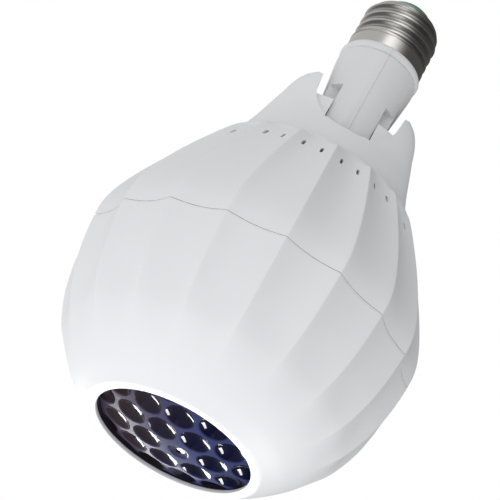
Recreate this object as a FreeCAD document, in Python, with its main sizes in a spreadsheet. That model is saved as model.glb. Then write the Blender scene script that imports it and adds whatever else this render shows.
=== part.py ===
import FreeCAD, Part
import Sketcher
import math
import os
import re
from FreeCAD import Placement, Rotation, Vector

# Snowflake projector bulb
# Lengths are in millimetres and angles in degrees.
# The origin is the centre of the window rim, and +Z runs along the bulb to the screw cap.
# The photographed side faces -Y, and +X is on its right.

os.makedirs("parts", exist_ok=True)
doc = FreeCAD.newDocument("ProjectorBulb")

# Driving sizes

SIZES = {
    # Fluted housing: heights of its outline, and how far each ridge lies inside the belly
    "window_radius": 25.3,
    "rim_land": 3.1,
    "shell_wall": 1.9,
    "floor_wall": 1.3,
    "bowl_low_height": 5.0,
    "bowl_low_flare": 6.2,
    "bowl_mid_height": 12.0,
    "bowl_mid_inset": 12.9,
    "bowl_high_height": 20.0,
    "bowl_high_inset": 7.2,
    "bowl_top_height": 33.0,
    "bowl_top_inset": 2.4,
    "parting_height": 48.2,
    "belly_height": 51.0,
    "belly_radius": 54.3,
    "shoulder_height": 60.0,
    "shoulder_inset": 1.5,
    "slope_height": 74.0,
    "slope_inset": 7.4,
    "vent_height": 90.0,
    "vent_ring_inset": 16.1,
    "waist_height": 104.0,
    "waist_flare": 5.6,
    "crown_height": 122.0,
    "crown_radius": 24.1,
    "horn_height": 132.0,
    "horn_inset": 3.4,
    "horn_end_inset": 8.5,
    # Flutes and vents
    "flute_count": 18,
    "flute_depth": 2.3,
    "flute_start": 8.0,
    "flute_full": 30.0,
    "flute_fade": 92.0,
    "vent_width": 1.1,
    "vent_length": 2.6,
    "vent_spread": 4.7,
    "vent_reach": 8.0,
    # Crown with its two horns
    "flare_height": 98.0,
    "front_flare_height": 104.5,
    "front_flare_depth": 21.8,
    "lip_depth": 15.3,
    "crown_depth": 14.1,
    "pivot_height": 124.0,
    "horn_drop": 2.8,
    "horn_gap": 14.0,
    "notch_draft": 1.2,
    "notch_drop": 0.2,
    "slot_floor": 115.2,
    "slot_clearance": 0.3,
    "scoop_radius": 14.6,
    "scoop_height": 128.2,
    "scoop_depth": 1.1,
    "deck_wall": 2.4,
    "wire_hole_radius": 4.5,
    # Rim lip that centres the rear shell, and screw posts of the front shell
    "lip_gap": 0.9,
    "lip_wall": 1.4,
    "lip_rise": 2.8,
    "lip_root": 4.2,
    "post_radius": 3.2,
    "post_inset": 2.6,
    "post_count": 4,
    "post_turn": 45.0,
    "pilot_depth": 9.0,
    # Neck
    "neck_radius": 13.5,
    "neck_wall": 2.0,
    "neck_edge": 131.1,
    "strip_half": 7.7,
    "tongue_wall": 1.8,
    "cheek_outer": 11.5,
    "cheek_wall": 2.0,
    "cheek_radius": 7.2,
    "side_taper_low": 130.5,
    "side_taper_high": 145.5,
    "collar_low": 147.9,
    "collar_radius": 13.9,
    "collar_sink": 0.5,
    "cap_seat": 150.9,
    "spigot_rise": 11.0,
    "spigot_wall": 1.8,
    "bead_width": 0.9,
    "bead_proud": 0.3,
    "peg_radius": 1.2,
    "peg_reach": 1.6,
    # Hinge hardware
    "pin_radius": 2.0,
    "pin_head_radius": 3.2,
    "pin_head_length": 1.2,
    "pin_cover": 5.1,
    "pin_clearance": 0.05,
    "washer_radius": 5.0,
    "washer_thickness": 0.6,
    "hinge_gap": 0.3,
    "tilt_limit": 30.0,
    "boss_radius": 5.4,
    # Screw cap
    "skirt_radius": 13.15,
    "skirt_height": 4.4,
    "thread_root": 12.15,
    "thread_pitch": 3.629,
    "thread_ridge": 2.6,
    "crest_drop": 0.05,
    "sheet": 0.3,
    "cap_shoulder": 17.6,
    "shoulder_drop": 0.5,
    "cap_bevel_height": 20.6,
    "cap_bevel_radius": 11.5,
    "cap_dome_height": 23.0,
    "cap_dome_radius": 8.6,
    "cap_mouth_height": 24.3,
    "cap_mouth_radius": 4.4,
    "insulator_radius": 6.2,
    "insulator_rise": 1.8,
    "insulator_land": 0.7,
    "insulator_depth": 2.6,
    "contact_radius": 2.3,
    "contact_rise": 0.4,
    "contact_stem_radius": 1.3,
    "contact_stem": 6.0,
    # Fly-eye lens and its drive
    "hub_x": 2.9,
    "hub_y": 2.3,
    "lens_cover": 0.4,
    "lens_recess": 0.9,
    "lens_curve": 95.0,
    "lens_thickness": 3.2,
    "lens_chamfer": 1.2,
    "seal_wall": 1.5,
    "seal_gap": 0.4,
    "cell_pitch": 10.9,
    "cell_radius": 4.85,
    "cell_curve": 8.2,
    "cell_turn": -14.0,
    "hub_radius": 4.6,
    "hub_height": 11.5,
    "hub_ring_radius": 3.3,
    "hub_ring_depth": 0.3,
    "shaft_radius": 1.5,
    "shaft_start": 2.2,
    "shaft_end": 26.0,
    "shaft_clearance": 0.05,
    "motor_radius": 8.0,
    "motor_can_radius": 7.6,
    "gearbox_length": 8.0,
    "motor_length": 22.0,
    "motor_nose_radius": 3.4,
    "motor_nose": 1.8,
    "motor_screw_circle": 5.7,
    "motor_screw_count": 2,
    "motor_screw_turn": 90.0,
    "small_head_radius": 1.8,
    # Optics holder
    "holder_front": 14.0,
    "holder_plate": 2.0,
    "holder_wall": 1.8,
    "holder_room": 0.7,
    "flange_width": 7.0,
    "flange_edge": 3.2,
    "holder_flange": 2.4,
    "holder_screw_count": 3,
    "holder_screw_turn": 30.0,
    "optic_circle": 17.0,
    "optic_count": 4,
    "light_hole_radius": 5.2,
    "slide_radius": 6.1,
    "slide_thickness": 0.5,
    "slide_arm": 9.0,
    "slide_slit": 0.7,
    "tube_bore": 6.2,
    "tube_length": 20.0,
    "tube_outer": 8.2,
    "condenser_radius": 7.1,
    "condenser_seat": 12.0,
    "condenser_edge": 1.6,
    "condenser_crown": 3.6,
    "seat_clearance": 0.1,
    # Inner frame, light source and heat sink
    "frame_height": 44.0,
    "frame_thickness": 2.4,
    "frame_gap": 0.6,
    "board_post_radius": 2.8,
    "board_post_count": 3,
    "board_height": 64.0,
    "led_board_radius": 30.0,
    "led_board_gap": 1.6,
    "led_board_thickness": 1.6,
    "led_size": 5.0,
    "led_height": 1.0,
    "led_screw_circle": 24.0,
    "led_screw_count": 2,
    "led_screw_turn": 45.0,
    "led_screw_length": 3.8,
    "sink_seat": 4.4,
    "sink_base": 2.5,
    "sink_screw_count": 3,
    "sink_screw_turn": 90.0,
    "fin_height": 9.0,
    "fin_pitch": 6.0,
    "fin_slot": 4.4,
    "fin_slots": 9,
    "screw_radius": 1.2,
    "screw_head_radius": 2.3,
    "screw_head": 1.4,
    "screw_head_gap": 0.4,
    "screw_length": 7.0,
    "short_screw_length": 4.6,
    "screw_hole": 1.4,
    # Driver board and its components
    "board_gap": 5.7,
    "board_edge": 2.9,
    "board_thickness": 1.6,
    "capacitor_radius": 5.0,
    "capacitor_height": 16.0,
    "capacitor_groove": 1.6,
    "capacitor_x": -15.0,
    "capacitor_y": 11.0,
    "transformer_width": 16.0,
    "transformer_depth": 13.0,
    "transformer_height": 12.0,
    "transformer_x": 13.0,
    "transformer_y": 14.0,
    "core_depth": 5.8,
    "coil_width": 11.2,
    "coil_height": 7.2,
    "rectifier_width": 7.0,
    "rectifier_depth": 5.0,
    "rectifier_height": 2.6,
    "rectifier_leg_spread": 2.3,
    "rectifier_x": -17.0,
    "rectifier_y": -14.0,
    "film_width": 13.0,
    "film_depth": 6.0,
    "film_height": 10.5,
    "film_round": 1.2,
    "film_x": 14.0,
    "film_y": -13.0,
    "resistor_radius": 1.7,
    "resistor_length": 9.0,
    "resistor_lift": 2.4,
    "resistor_wire": 0.4,
    "resistor_bend": 2.0,
    "resistor_x": -1.0,
    "resistor_y": -25.0,
    "plug_width": 7.5,
    "plug_depth": 5.6,
    "plug_height": 6.0,
    "plug_wall": 0.9,
    "plug_pin_spread": 1.5,
    "led_plug_x": 28.0,
    "led_plug_y": 0.0,
    "motor_plug_x": -29.0,
    "motor_plug_y": -2.0,
}

# Sizes that follow from others

DERIVED = {
    "rim_radius": "window_radius + rim_land",
    "bowl_low_radius": "rim_radius + bowl_low_flare",
    "bowl_mid_radius": "belly_radius - bowl_mid_inset",
    "bowl_high_radius": "belly_radius - bowl_high_inset",
    "bowl_top_radius": "belly_radius - bowl_top_inset",
    "shoulder_radius": "belly_radius - shoulder_inset",
    "slope_radius": "belly_radius - slope_inset",
    "vent_ring_radius": "belly_radius - vent_ring_inset",
    "waist_radius": "crown_radius + waist_flare",
    "horn_radius": "crown_radius - horn_inset",
    "horn_end_radius": "crown_radius - horn_end_inset",
    "horn_top": "pivot_height - horn_drop + crown_depth",
    "pin_end": "crown_radius - pin_cover",
    "lip_radius": "belly_radius - flute_depth - shell_wall - lip_gap",
    "post_circle": "lip_radius - lip_wall - post_radius - post_inset",
    "frame_radius": "lip_radius - lip_wall - frame_gap",
    "board_radius": "belly_radius - flute_depth - shell_wall - board_gap",
    "board_post_circle": "board_radius - board_edge",
    "hub_offset": "sqrt(hub_x * hub_x + hub_y * hub_y)",
    "lens_radius": "window_radius + hub_offset + lens_cover",
    "seal_radius": "window_radius + seal_wall",
    "holder_radius": "optic_circle + tube_outer + hub_offset + holder_room + holder_wall",
    "holder_flange_radius": "holder_radius + flange_width",
    "holder_screw_circle": "holder_flange_radius - flange_edge",
    "condenser_curve": "condenser_radius * condenser_radius / (2 * condenser_crown) + condenser_crown / 2",
    "frame_opening": "led_board_radius + led_board_gap",
    "sink_radius": "frame_opening + sink_seat",
    "sink_screw_circle": "sink_radius - screw_head_radius",
    "fin_radius": "sink_screw_circle - screw_head_radius - screw_head_gap",
    "tongue_inside": "strip_half - tongue_wall",
}

sheet = doc.addObject("Spreadsheet::Sheet", "Sizes")
contents = {alias: str(number) for alias, number in SIZES.items()}
contents.update({alias: "=" + text for alias, text in DERIVED.items()})
for row, (alias, content) in enumerate(contents.items(), start=1):
    sheet.set("A%d" % row, alias)
    sheet.setAlias("B%d" % row, alias)
    sheet.set("B%d" % row, content)
doc.recompute()


def size(alias):
    return float(sheet.get(alias))


def rule(text):
    """Turns plain size names into cell references."""

    def reference(word):
        return "Sizes." + word.group() if word.group() in contents else word.group()

    return re.sub(r"[a-z_]+", reference, text)


def bind(item, **rules):
    for name, text in rules.items():
        item.setExpression(name.replace("__", "."), rule(text))
    return item


# Building blocks

def place(item, x="0", y="0", z="0"):
    return bind(item, Placement__Base__x=x, Placement__Base__y=y, Placement__Base__z=z)


def cylinder(name, radius, height, x="0", y="0", z="0", along=Vector(0, 0, 1)):
    item = doc.addObject("Part::Cylinder", name)
    item.Placement = Placement(Vector(), Rotation(Vector(0, 0, 1), along))
    return place(bind(item, Radius=radius, Height=height), x, y, z)


def box(name, width, depth, height, x="0", y="0", z="0"):
    """Box centred on x and y, standing on z."""
    item = doc.addObject("Part::Box", name)
    bind(item, Length=width, Width=depth, Height=height)
    return place(item, "%s - (%s) / 2" % (x, width), "%s - (%s) / 2" % (y, depth), z)


def fuse(name, items):
    item = doc.addObject("Part::MultiFuse", name)
    item.Shapes = items
    return item


def cut(name, base, tool):
    item = doc.addObject("Part::Cut", name)
    item.Base = base
    item.Tool = tool
    return item


def group(name, items):
    item = doc.addObject("Part::Compound", name)
    item.Links = items
    return item


def body(name):
    return doc.addObject("PartDesign::Body", name)


def origin_plane(owner, role):
    return next(item for item in owner.Origin.OriginFeatures if item.Role == role)


def sketch(owner, name, role, lift="0"):
    item = owner.newObject("Sketcher::SketchObject", name)
    item.AttachmentSupport = (origin_plane(owner, role), [""])
    item.MapMode = "FlatFace"
    if lift != "0":
        bind(item, AttachmentOffset__Base__z=lift)
    return item


def value_of(text):
    """Number of a rule, for the first placing of a sketch's points."""
    names = {alias: size(alias) for alias in re.findall(r"[a-z_]+", text) if alias in contents}
    for alias in sorted(names, key=len, reverse=True):
        text = re.sub(r"\b%s\b" % alias, repr(names[alias]), text)
    total = FreeCAD.Units.Quantity(text)
    return total.Value


def outline(item, points):
    """Closed outline of straight edges whose corners are rules."""
    corners = [Vector(value_of(x), value_of(y), 0) for x, y in points]
    for index, corner in enumerate(corners):
        following = corners[(index + 1) % len(corners)]
        item.addGeometry(Part.LineSegment(corner, following), False)
    for index in range(len(corners)):
        item.addConstraint(Sketcher.Constraint("Coincident", index, 2, (index + 1) % len(corners), 1))
    for index, (x, y) in enumerate(points):
        for kind, text, axis in (("DistanceX", x, -2), ("DistanceY", y, -1)):
            if text == "0":
                item.addConstraint(Sketcher.Constraint("PointOnObject", index, 1, axis))
            else:
                start = value_of(text)
                number = item.addConstraint(Sketcher.Constraint(kind, -1, 1, index, 1, start))
                item.setExpression("Constraints[%d]" % number, rule(text))
    return item


def circle(item, radius, x="0", y="0"):
    centre = Vector(value_of(x), value_of(y), 0)
    index = item.addGeometry(Part.Circle(centre, Vector(0, 0, 1), value_of(radius)), False)
    number = item.addConstraint(Sketcher.Constraint("Radius", index, value_of(radius)))
    item.setExpression("Constraints[%d]" % number, rule(radius))
    for kind, text, axis in (("DistanceX", x, -2), ("DistanceY", y, -1)):
        if text == "0":
            item.addConstraint(Sketcher.Constraint("PointOnObject", index, 3, axis))
        else:
            number = item.addConstraint(Sketcher.Constraint(kind, -1, 1, index, 3, value_of(text)))
            item.setExpression("Constraints[%d]" % number, rule(text))
    return item


def pad(owner, profile, length, name="Pad"):
    item = owner.newObject("PartDesign::Pad", name)
    item.Profile = profile
    return bind(item, Length=length)


def pocket(owner, profile, depth, name="Pocket"):
    """Pocket that cuts towards +Z from its sketch."""
    item = owner.newObject("PartDesign::Pocket", name)
    item.Profile = profile
    item.Reversed = True
    return bind(item, Length=depth)


def turned(owner, profile, name="Turned"):
    item = owner.newObject("PartDesign::Revolution", name)
    item.Profile = profile
    item.ReferenceAxis = (profile, ["V_Axis"])
    item.Angle = 360
    return item


def ring_of(owner, features, count, name="Ring"):
    item = owner.newObject("PartDesign::PolarPattern", name)
    item.Originals = features
    item.Axis = (features[0].Profile[0], ["N_Axis"])
    item.Angle = 360
    bind(item, Occurrences=count)
    owner.Tip = item
    return item


def turned_body(name, points):
    owner = body(name)
    profile = outline(sketch(owner, name + "_profile", "XZ_Plane"), points)
    turned(owner, profile)
    return owner


def shaped(name, shape):
    item = doc.addObject("Part::Feature", name)
    item.Shape = shape
    return item


NODES = []


def node(name, item):
    item.Label = name
    NODES.append(item)
    return item


# Reach of tools that cut right through, and how far joined solids run into each other
FAR = 80.0
OVERLAP = 1.0

# Outline of the fluted housing

def smooth_curve(points):
    """Smooth function through (height, value) points, with a slope at each from its neighbours."""
    slopes = []
    for index in range(len(points)):
        before = points[max(index - 1, 0)]
        after = points[min(index + 1, len(points) - 1)]
        slopes.append((after[1] - before[1]) / (after[0] - before[0]))

    def value(height):
        index = 0
        while index < len(points) - 2 and height > points[index + 1][0]:
            index += 1
        low, high = points[index], points[index + 1]
        span = high[0] - low[0]
        part = (height - low[0]) / span
        rise = part * part * (3 - 2 * part)
        bend_low = part * (1 - part) ** 2
        bend_high = part * part * (part - 1)
        bend = bend_low * slopes[index] + bend_high * slopes[index + 1]
        return low[1] + rise * (high[1] - low[1]) + span * bend

    return value


def smooth_step(value, start, end):
    part = min(max((value - start) / (end - start), 0.0), 1.0)
    return part * part * (3 - 2 * part)


horn_top = size("horn_top")
horn_centre = size("pivot_height") - size("horn_drop")

ridge_radius = smooth_curve(
    [(0.0, size("rim_radius"))]
    + [
        (size(place_name + "_height"), size(radius_name))
        for place_name, radius_name in (
            ("bowl_low", "bowl_low_radius"),
            ("bowl_mid", "bowl_mid_radius"),
            ("bowl_high", "bowl_high_radius"),
            ("bowl_top", "bowl_top_radius"),
            ("belly", "belly_radius"),
            ("shoulder", "shoulder_radius"),
            ("slope", "slope_radius"),
            ("vent", "vent_ring_radius"),
            ("waist", "waist_radius"),
            ("crown", "crown_radius"),
            ("horn", "horn_radius"),
        )
    ]
    + [(horn_top, size("horn_end_radius"))]
)

front_depth = smooth_curve(
    [
        (size("vent_height"), size("vent_ring_radius")),
        (size("flare_height"), ridge_radius(size("flare_height"))),
        (size("front_flare_height"), size("front_flare_depth")),
        (size("slot_floor"), size("lip_depth")),
        (horn_centre, size("crown_depth")),
        (horn_top, size("crown_depth")),
    ]
)


def flute_at(height):
    """Depth of the flutes: none at the window, full on the belly, none on the crown."""
    rising = smooth_step(height, size("flute_start"), size("flute_full"))
    falling = 1 - smooth_step(height, size("flute_fade"), size("flare_height"))
    return size("flute_depth") * min(rising, falling)


def wall_inset(height):
    """Horizontal thickness of a wall that is shell_wall thick across its slope."""
    step = 0.5
    slope = (ridge_radius(height + step) - ridge_radius(max(height - step, 0.0))) / (2 * step)
    return size("shell_wall") * math.sqrt(1 + slope * slope)


def section(height, inset=0.0):
    """One level of the housing: an arc from each ridge to the next."""
    half_width = ridge_radius(height) - inset
    half_depth = half_width
    if height > size("flare_height"):
        half_depth = front_depth(height) - inset
    count = int(size("flute_count"))
    pitch = 2 * math.pi / count
    depth = flute_at(height)

    def point(angle, hollow):
        width = half_width - hollow
        deep = half_depth - hollow
        return Vector(width * math.sin(angle), -deep * math.cos(angle), height)

    edges = []
    for index in range(count):
        start = point(index * pitch, 0.0)
        middle = point((index + 0.5) * pitch, depth)
        end = point((index + 1) * pitch, 0.0)
        edges.append(Part.Arc(start, middle, end).toShape())
    return Part.Wire(edges)


def levels(bottom, top, step):
    count = max(2, int(round((top - bottom) / step)))
    return [bottom + (top - bottom) * index / count for index in range(count + 1)]


def fluted(heights, inset_rule=None):
    wires = [section(height, inset_rule(height) if inset_rule else 0.0) for height in heights]
    return Part.makeLoft(wires, True, False)


def along_x(radius, start, end, y, z):
    return Part.makeCylinder(radius, end - start, Vector(start, y, z), Vector(1, 0, 0))


def block(low, high):
    return Part.makeBox(high[0] - low[0], high[1] - low[1], high[2] - low[2], Vector(*low))


def slab(points):
    """Straight slab from front to back, with its (x, z) outline."""
    corners = [Vector(across, -FAR, height) for across, height in points]
    return Part.Face(Part.makePolygon(corners + corners[:1])).extrude(Vector(0, 2 * FAR, 0))


def standing(radius, low, high):
    return Part.makeCylinder(radius, high - low, Vector(0, 0, low))


def on_circle(radius, angle, height=0.0, x=0.0, y=0.0):
    turn = math.radians(angle)
    return Vector(x + radius * math.cos(turn), y + radius * math.sin(turn), height)


# Front shell: fluted bowl with the window, screw posts and centring lip

BOWL_STEP = 5.4
parting = size("parting_height")
bowl_levels = [0.0, size("bowl_low_height") / 2, size("bowl_low_height")]
bowl_levels += levels(size("bowl_low_height"), parting, BOWL_STEP)[1:]
bowl = fluted(bowl_levels)
floor_top = size("floor_wall")
hollow_levels = [floor_top] + bowl_levels[1:]
front = bowl.cut(fluted(hollow_levels, wall_inset))

lip_inner = size("lip_radius") - size("lip_wall")
lip_top = parting + size("lip_rise")
lip_low = parting - size("lip_root")
lip = standing(size("lip_radius"), lip_low, lip_top)
root = standing(size("belly_radius"), lip_low, parting - size("hinge_gap"))
lip = lip.fuse(root.common(bowl)).cut(standing(lip_inner, 0, 2 * FAR))
front = front.fuse(lip)

for index in range(int(size("post_count"))):
    angle = size("post_turn") + 360 * index / size("post_count")
    foot = on_circle(size("post_circle"), angle, floor_top)
    top_point = on_circle(size("post_circle"), angle, size("frame_height") - size("pilot_depth"))
    post = Part.makeCylinder(size("post_radius"), size("frame_height") - floor_top, foot)
    pilot = Part.makeCylinder(size("screw_radius"), size("pilot_depth"), top_point)
    front = front.fuse(post.common(bowl)).cut(pilot)

front = front.cut(standing(size("window_radius"), -floor_top, 2 * floor_top))
node("front_shell", shaped("FrontShell", front))

# Dark light seal on the floor of the front shell, close behind the face of the lens

hub = Vector(size("hub_x"), size("hub_y"), 0)
dome_centre = hub + Vector(0, 0, size("lens_recess") + size("lens_curve"))
seal = standing(size("seal_radius"), floor_top, size("hub_height"))
seal = seal.cut(standing(size("window_radius"), 0, size("hub_height")))
seal = seal.cut(Part.makeSphere(size("lens_curve") + size("seal_gap"), dome_centre))
node("window_seal", shaped("WindowSeal", seal))

# Rear shell: fluted shoulders, vents and the crown that carries the neck

pivot = size("pivot_height")
slot_half = size("strip_half") + size("slot_clearance")
shoulder_top = pivot - size("notch_drop")
swing_radius = math.hypot(size("neck_radius") + size("bead_proud"), pivot - size("slot_floor"))
tongue_swing = swing_radius - size("hinge_gap")
cheek_room = size("cheek_outer") + size("hinge_gap") + size("washer_thickness")
cheek_reach = size("cheek_radius") / math.cos(math.radians(size("tilt_limit")))

SHOULDER_STEP = 7.0
FADE_STEP = 2.0
rear_levels = levels(parting, size("flute_fade"), SHOULDER_STEP)
rear_levels += levels(size("flute_fade"), size("flare_height"), FADE_STEP)[1:]
rear_levels += levels(size("flare_height"), pivot, SHOULDER_STEP)[1:]
shoulders = fluted(rear_levels + levels(pivot, horn_top, SHOULDER_STEP)[1:])
room_top = pivot - swing_radius - size("deck_wall")
room_levels = [height for height in rear_levels if height < room_top - OVERLAP] + [room_top]
rear = shoulders.cut(fluted(room_levels, wall_inset))

# Round tops of the horns, tapered notch between them and slot for the neck's tongue
horn_cap = block((-FAR, -FAR, horn_centre), (FAR, FAR, horn_centre + FAR))
horn_cap = horn_cap.cut(along_x(size("crown_depth"), -FAR, FAR, 0, horn_centre))
notch_top = size("horn_gap") + size("notch_draft")
notch = slab([
    (-size("horn_gap"), shoulder_top),
    (size("horn_gap"), shoulder_top),
    (notch_top, horn_top),
    (-notch_top, horn_top),
])
slot = block((-slot_half, -FAR, size("slot_floor")), (slot_half, FAR, pivot + FAR))
swing = along_x(swing_radius, -slot_half, slot_half, 0, pivot)
cheek_swing = along_x(cheek_reach + size("hinge_gap"), -cheek_room, cheek_room, 0, pivot)
rear = rear.cut(horn_cap).cut(notch).cut(slot).cut(swing).cut(cheek_swing)

# Shallow round scoop in front of and behind each shoulder
scoop_levels = levels(size("front_flare_height"), horn_top, SHOULDER_STEP)
scoop_bed = fluted(scoop_levels, lambda height: size("scoop_depth"))
scoop_centre = Vector(0, 0, size("scoop_height"))
for side in (-1, 1):
    scoop = Part.makeCylinder(size("scoop_radius"), FAR, scoop_centre, Vector(0, side, 0))
    rear = rear.cut(scoop.cut(scoop_bed))

# Hinge bosses inside the horns, with blind bores for the pins
for side in (-1, 1):
    inner, outer = sorted((side * cheek_room, side * (size("horn_gap") + OVERLAP)))
    bore_inner, bore_outer = sorted((side * cheek_room, side * size("pin_end")))
    rear = rear.fuse(along_x(size("boss_radius"), inner, outer, 0, pivot))
    rear = rear.cut(along_x(size("pin_radius"), bore_inner, bore_outer, 0, pivot))

rear = rear.cut(standing(size("wire_hole_radius"), room_top - OVERLAP, pivot))

vents = []
flute_pitch = 360 / size("flute_count")
vent_half = size("vent_length") / 2
for index in range(int(size("flute_count"))):
    for side in (-1, 1):
        inner = size("vent_ring_radius") - size("vent_reach")
        outer = size("vent_ring_radius") + size("vent_reach")
        vent = block(
            (inner, -size("vent_width") / 2, size("vent_height") - vent_half),
            (outer, size("vent_width") / 2, size("vent_height") + vent_half),
        )
        angle = -90 + (index + 0.5) * flute_pitch + side * size("vent_spread")
        vent.rotate(Vector(0, 0, 0), Vector(0, 0, 1), angle)
        vents.append(vent)
rear = rear.cut(Part.makeCompound(vents))
node("rear_shell", shaped("RearShell", rear))

# Neck: two halves that meet on the seam, with a hollow tongue and two hinge cheeks

seat = size("cap_seat")
neck_bore = size("neck_radius") - size("neck_wall")
spigot_radius = size("thread_root") - size("sheet") - size("seat_clearance")
spigot_low_radius = size("skirt_radius") - size("sheet") - size("seat_clearance")
spigot_bore = spigot_radius - size("spigot_wall")
spigot_top = seat + size("spigot_rise")
skirt_top = seat + size("skirt_height")
bore_top = seat - size("neck_wall")


def turned_face(edges):
    return Part.Face(Part.Wire(edges)).revolve(Vector(0, 0, 0), Vector(0, 0, 1), 360)


def straight(points):
    """Edges along a line through (radius, height) points."""
    corners = [Vector(radius, 0, height) for radius, height in points]
    return [Part.makeLine(first, second) for first, second in zip(corners, corners[1:])]


def collared(low, proud):
    """Solid neck from low to the cap, with a groove and a rounded collar below the cap."""
    radius = size("neck_radius") + proud
    foot = radius - size("collar_sink")
    brow = size("skirt_radius") + proud
    middle = (size("collar_low") + seat) / 2
    collar = Part.Arc(
        Vector(foot, 0, size("collar_low")),
        Vector(size("collar_radius") + proud, 0, middle),
        Vector(brow, 0, seat),
    ).toShape()
    lead = size("collar_low") - size("collar_sink")
    below = straight([(0, seat), (0, low), (radius, low), (radius, lead), (foot, size("collar_low"))])
    return turned_face(below + [collar] + straight([(brow, seat), (0, seat)]))


# Seam bead down the front and back, shared by both halves
bead_half = size("bead_width") / 2
bead = collared(size("slot_floor"), size("bead_proud"))
bead = bead.common(block((-bead_half, -FAR, 0), (bead_half, FAR, seat)))

sleeve = collared(size("neck_edge"), 0).fuse(bead)
sleeve = sleeve.cut(standing(neck_bore, size("neck_edge") + size("neck_wall"), bore_top))
spigot = standing(spigot_radius, seat, spigot_top)
spigot = spigot.fuse(standing(spigot_low_radius, seat, skirt_top - size("sheet") - size("seat_clearance")))
sleeve = sleeve.fuse(spigot)
sleeve = sleeve.cut(standing(spigot_bore, bore_top - OVERLAP, spigot_top + OVERLAP))

# Tongue: the strip seen between the shoulders, with its end rounded about the hinge
tongue_low = pivot - tongue_swing
tongue_top = size("neck_edge") + size("neck_wall")
strip_half = size("strip_half")
tongue_inside = size("tongue_inside")
tongue = standing(size("neck_radius"), tongue_low, tongue_top)
tongue = tongue.common(block((-strip_half, -FAR, 0), (strip_half, FAR, tongue_top)))

# Cheeks beside the tongue carry the pins and run up inside the neck
cheek_top = size("side_taper_high") + size("cheek_wall")
cheek_inner = size("cheek_outer") - size("cheek_wall")
cheek_radius = size("cheek_radius")
cheeks = []
tapers = []
for side in (-1, 1):
    inner, outer = sorted((side * tongue_inside, side * size("cheek_outer")))
    knuckle = block((inner, -cheek_radius, pivot), (outer, cheek_radius, tongue_top))
    knuckle = knuckle.fuse(along_x(cheek_radius, inner, outer, 0, pivot))
    inner, outer = sorted((side * cheek_inner, side * size("cheek_outer")))
    plate = block((inner, -cheek_radius, tongue_top), (outer, cheek_radius, cheek_top))
    cheeks.append(knuckle.fuse(plate).common(standing(size("neck_radius"), tongue_low, bore_top)))
    tapers.append(slab([
        (side * size("cheek_outer"), tongue_low),
        (side * size("cheek_outer"), size("side_taper_low")),
        (side * size("neck_radius"), size("side_taper_high")),
        (side * FAR, size("side_taper_high")),
        (side * FAR, tongue_low),
    ]))

# Sides of the neck taper in to the cheeks, and the room for the leads runs up through the tongue
tongue_end = along_x(tongue_swing, -FAR, FAR, 0, pivot)
tongue_end = tongue_end.fuse(block((-FAR, -FAR, pivot), (FAR, FAR, seat + FAR)))
tongue_room = standing(neck_bore, tongue_low - OVERLAP, tongue_top + OVERLAP)
tongue_room = tongue_room.common(block((-tongue_inside, -FAR, 0), (tongue_inside, FAR, seat)))
neck = sleeve.fuse([tongue] + cheeks).common(tongue_end).cut(tapers).cut(tongue_room)
bore_radius = size("pin_radius") + size("pin_clearance")
neck = neck.cut(along_x(bore_radius, -FAR, FAR, 0, pivot))

# Bosses for the pegs that line up the two halves
peg_height = size("side_taper_high") + size("peg_radius")
peg_places = [(side * (neck_bore - size("peg_radius")), peg_height) for side in (-1, 1)]
for across, height in peg_places:
    boss = along_x(2 * size("peg_radius"), -2 * size("peg_reach"), 2 * size("peg_reach"), across, height)
    neck = neck.fuse(boss.common(standing(size("neck_radius") - size("collar_sink"), 0, bore_top)))

neck_left = neck.common(block((-FAR, -FAR, 0), (0, FAR, 2 * seat)))
neck_right = neck.common(block((0, -FAR, 0), (FAR, FAR, 2 * seat)))
for across, height in peg_places:
    peg = along_x(size("peg_radius"), -size("peg_reach"), size("peg_reach"), across, height)
    neck_left = neck_left.fuse(peg)
    socket_radius = size("peg_radius") + size("seat_clearance")
    socket_depth = size("peg_reach") + size("seat_clearance")
    neck_right = neck_right.cut(along_x(socket_radius, 0, socket_depth, across, height))
node("neck_left", shaped("NeckLeft", neck_left))
node("neck_right", shaped("NeckRight", neck_right))

# Hinge pins with their heads behind the cheeks, and washers against the horns
pins = []
washers = []
for side in (-1, 1):
    toward = Vector(side, 0, 0)
    head_start = "tongue_inside - hinge_gap - pin_head_length"
    pins.append(fuse("HingePin%d" % (side + 2), [
        cylinder("PinHead%d" % (side + 2), "pin_head_radius", "pin_head_length",
                 "%d * (%s)" % (side, head_start), "0", "pivot_height", toward),
        cylinder("PinShank%d" % (side + 2), "pin_radius", "pin_end - (%s)" % head_start,
                 "%d * (%s)" % (side, head_start), "0", "pivot_height", toward),
    ]))
    washer_start = "%d * (cheek_outer + hinge_gap)" % side
    washers.append(cut(
        "Washer%d" % (side + 2),
        cylinder("WasherDisc%d" % (side + 2), "washer_radius", "washer_thickness",
                 washer_start, "0", "pivot_height", toward),
        cylinder("WasherBore%d" % (side + 2), "pin_radius", "washer_thickness",
                 washer_start, "0", "pivot_height", toward),
    ))
node("hinge_pins", group("HingePins", pins))
node("hinge_washers", group("HingeWashers", washers))

# Screw cap: rolled sheet with a round thread, open at its tip for the insulator

def turned_solid(points):
    return turned_face(straight(points + points[:1]))


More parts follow.
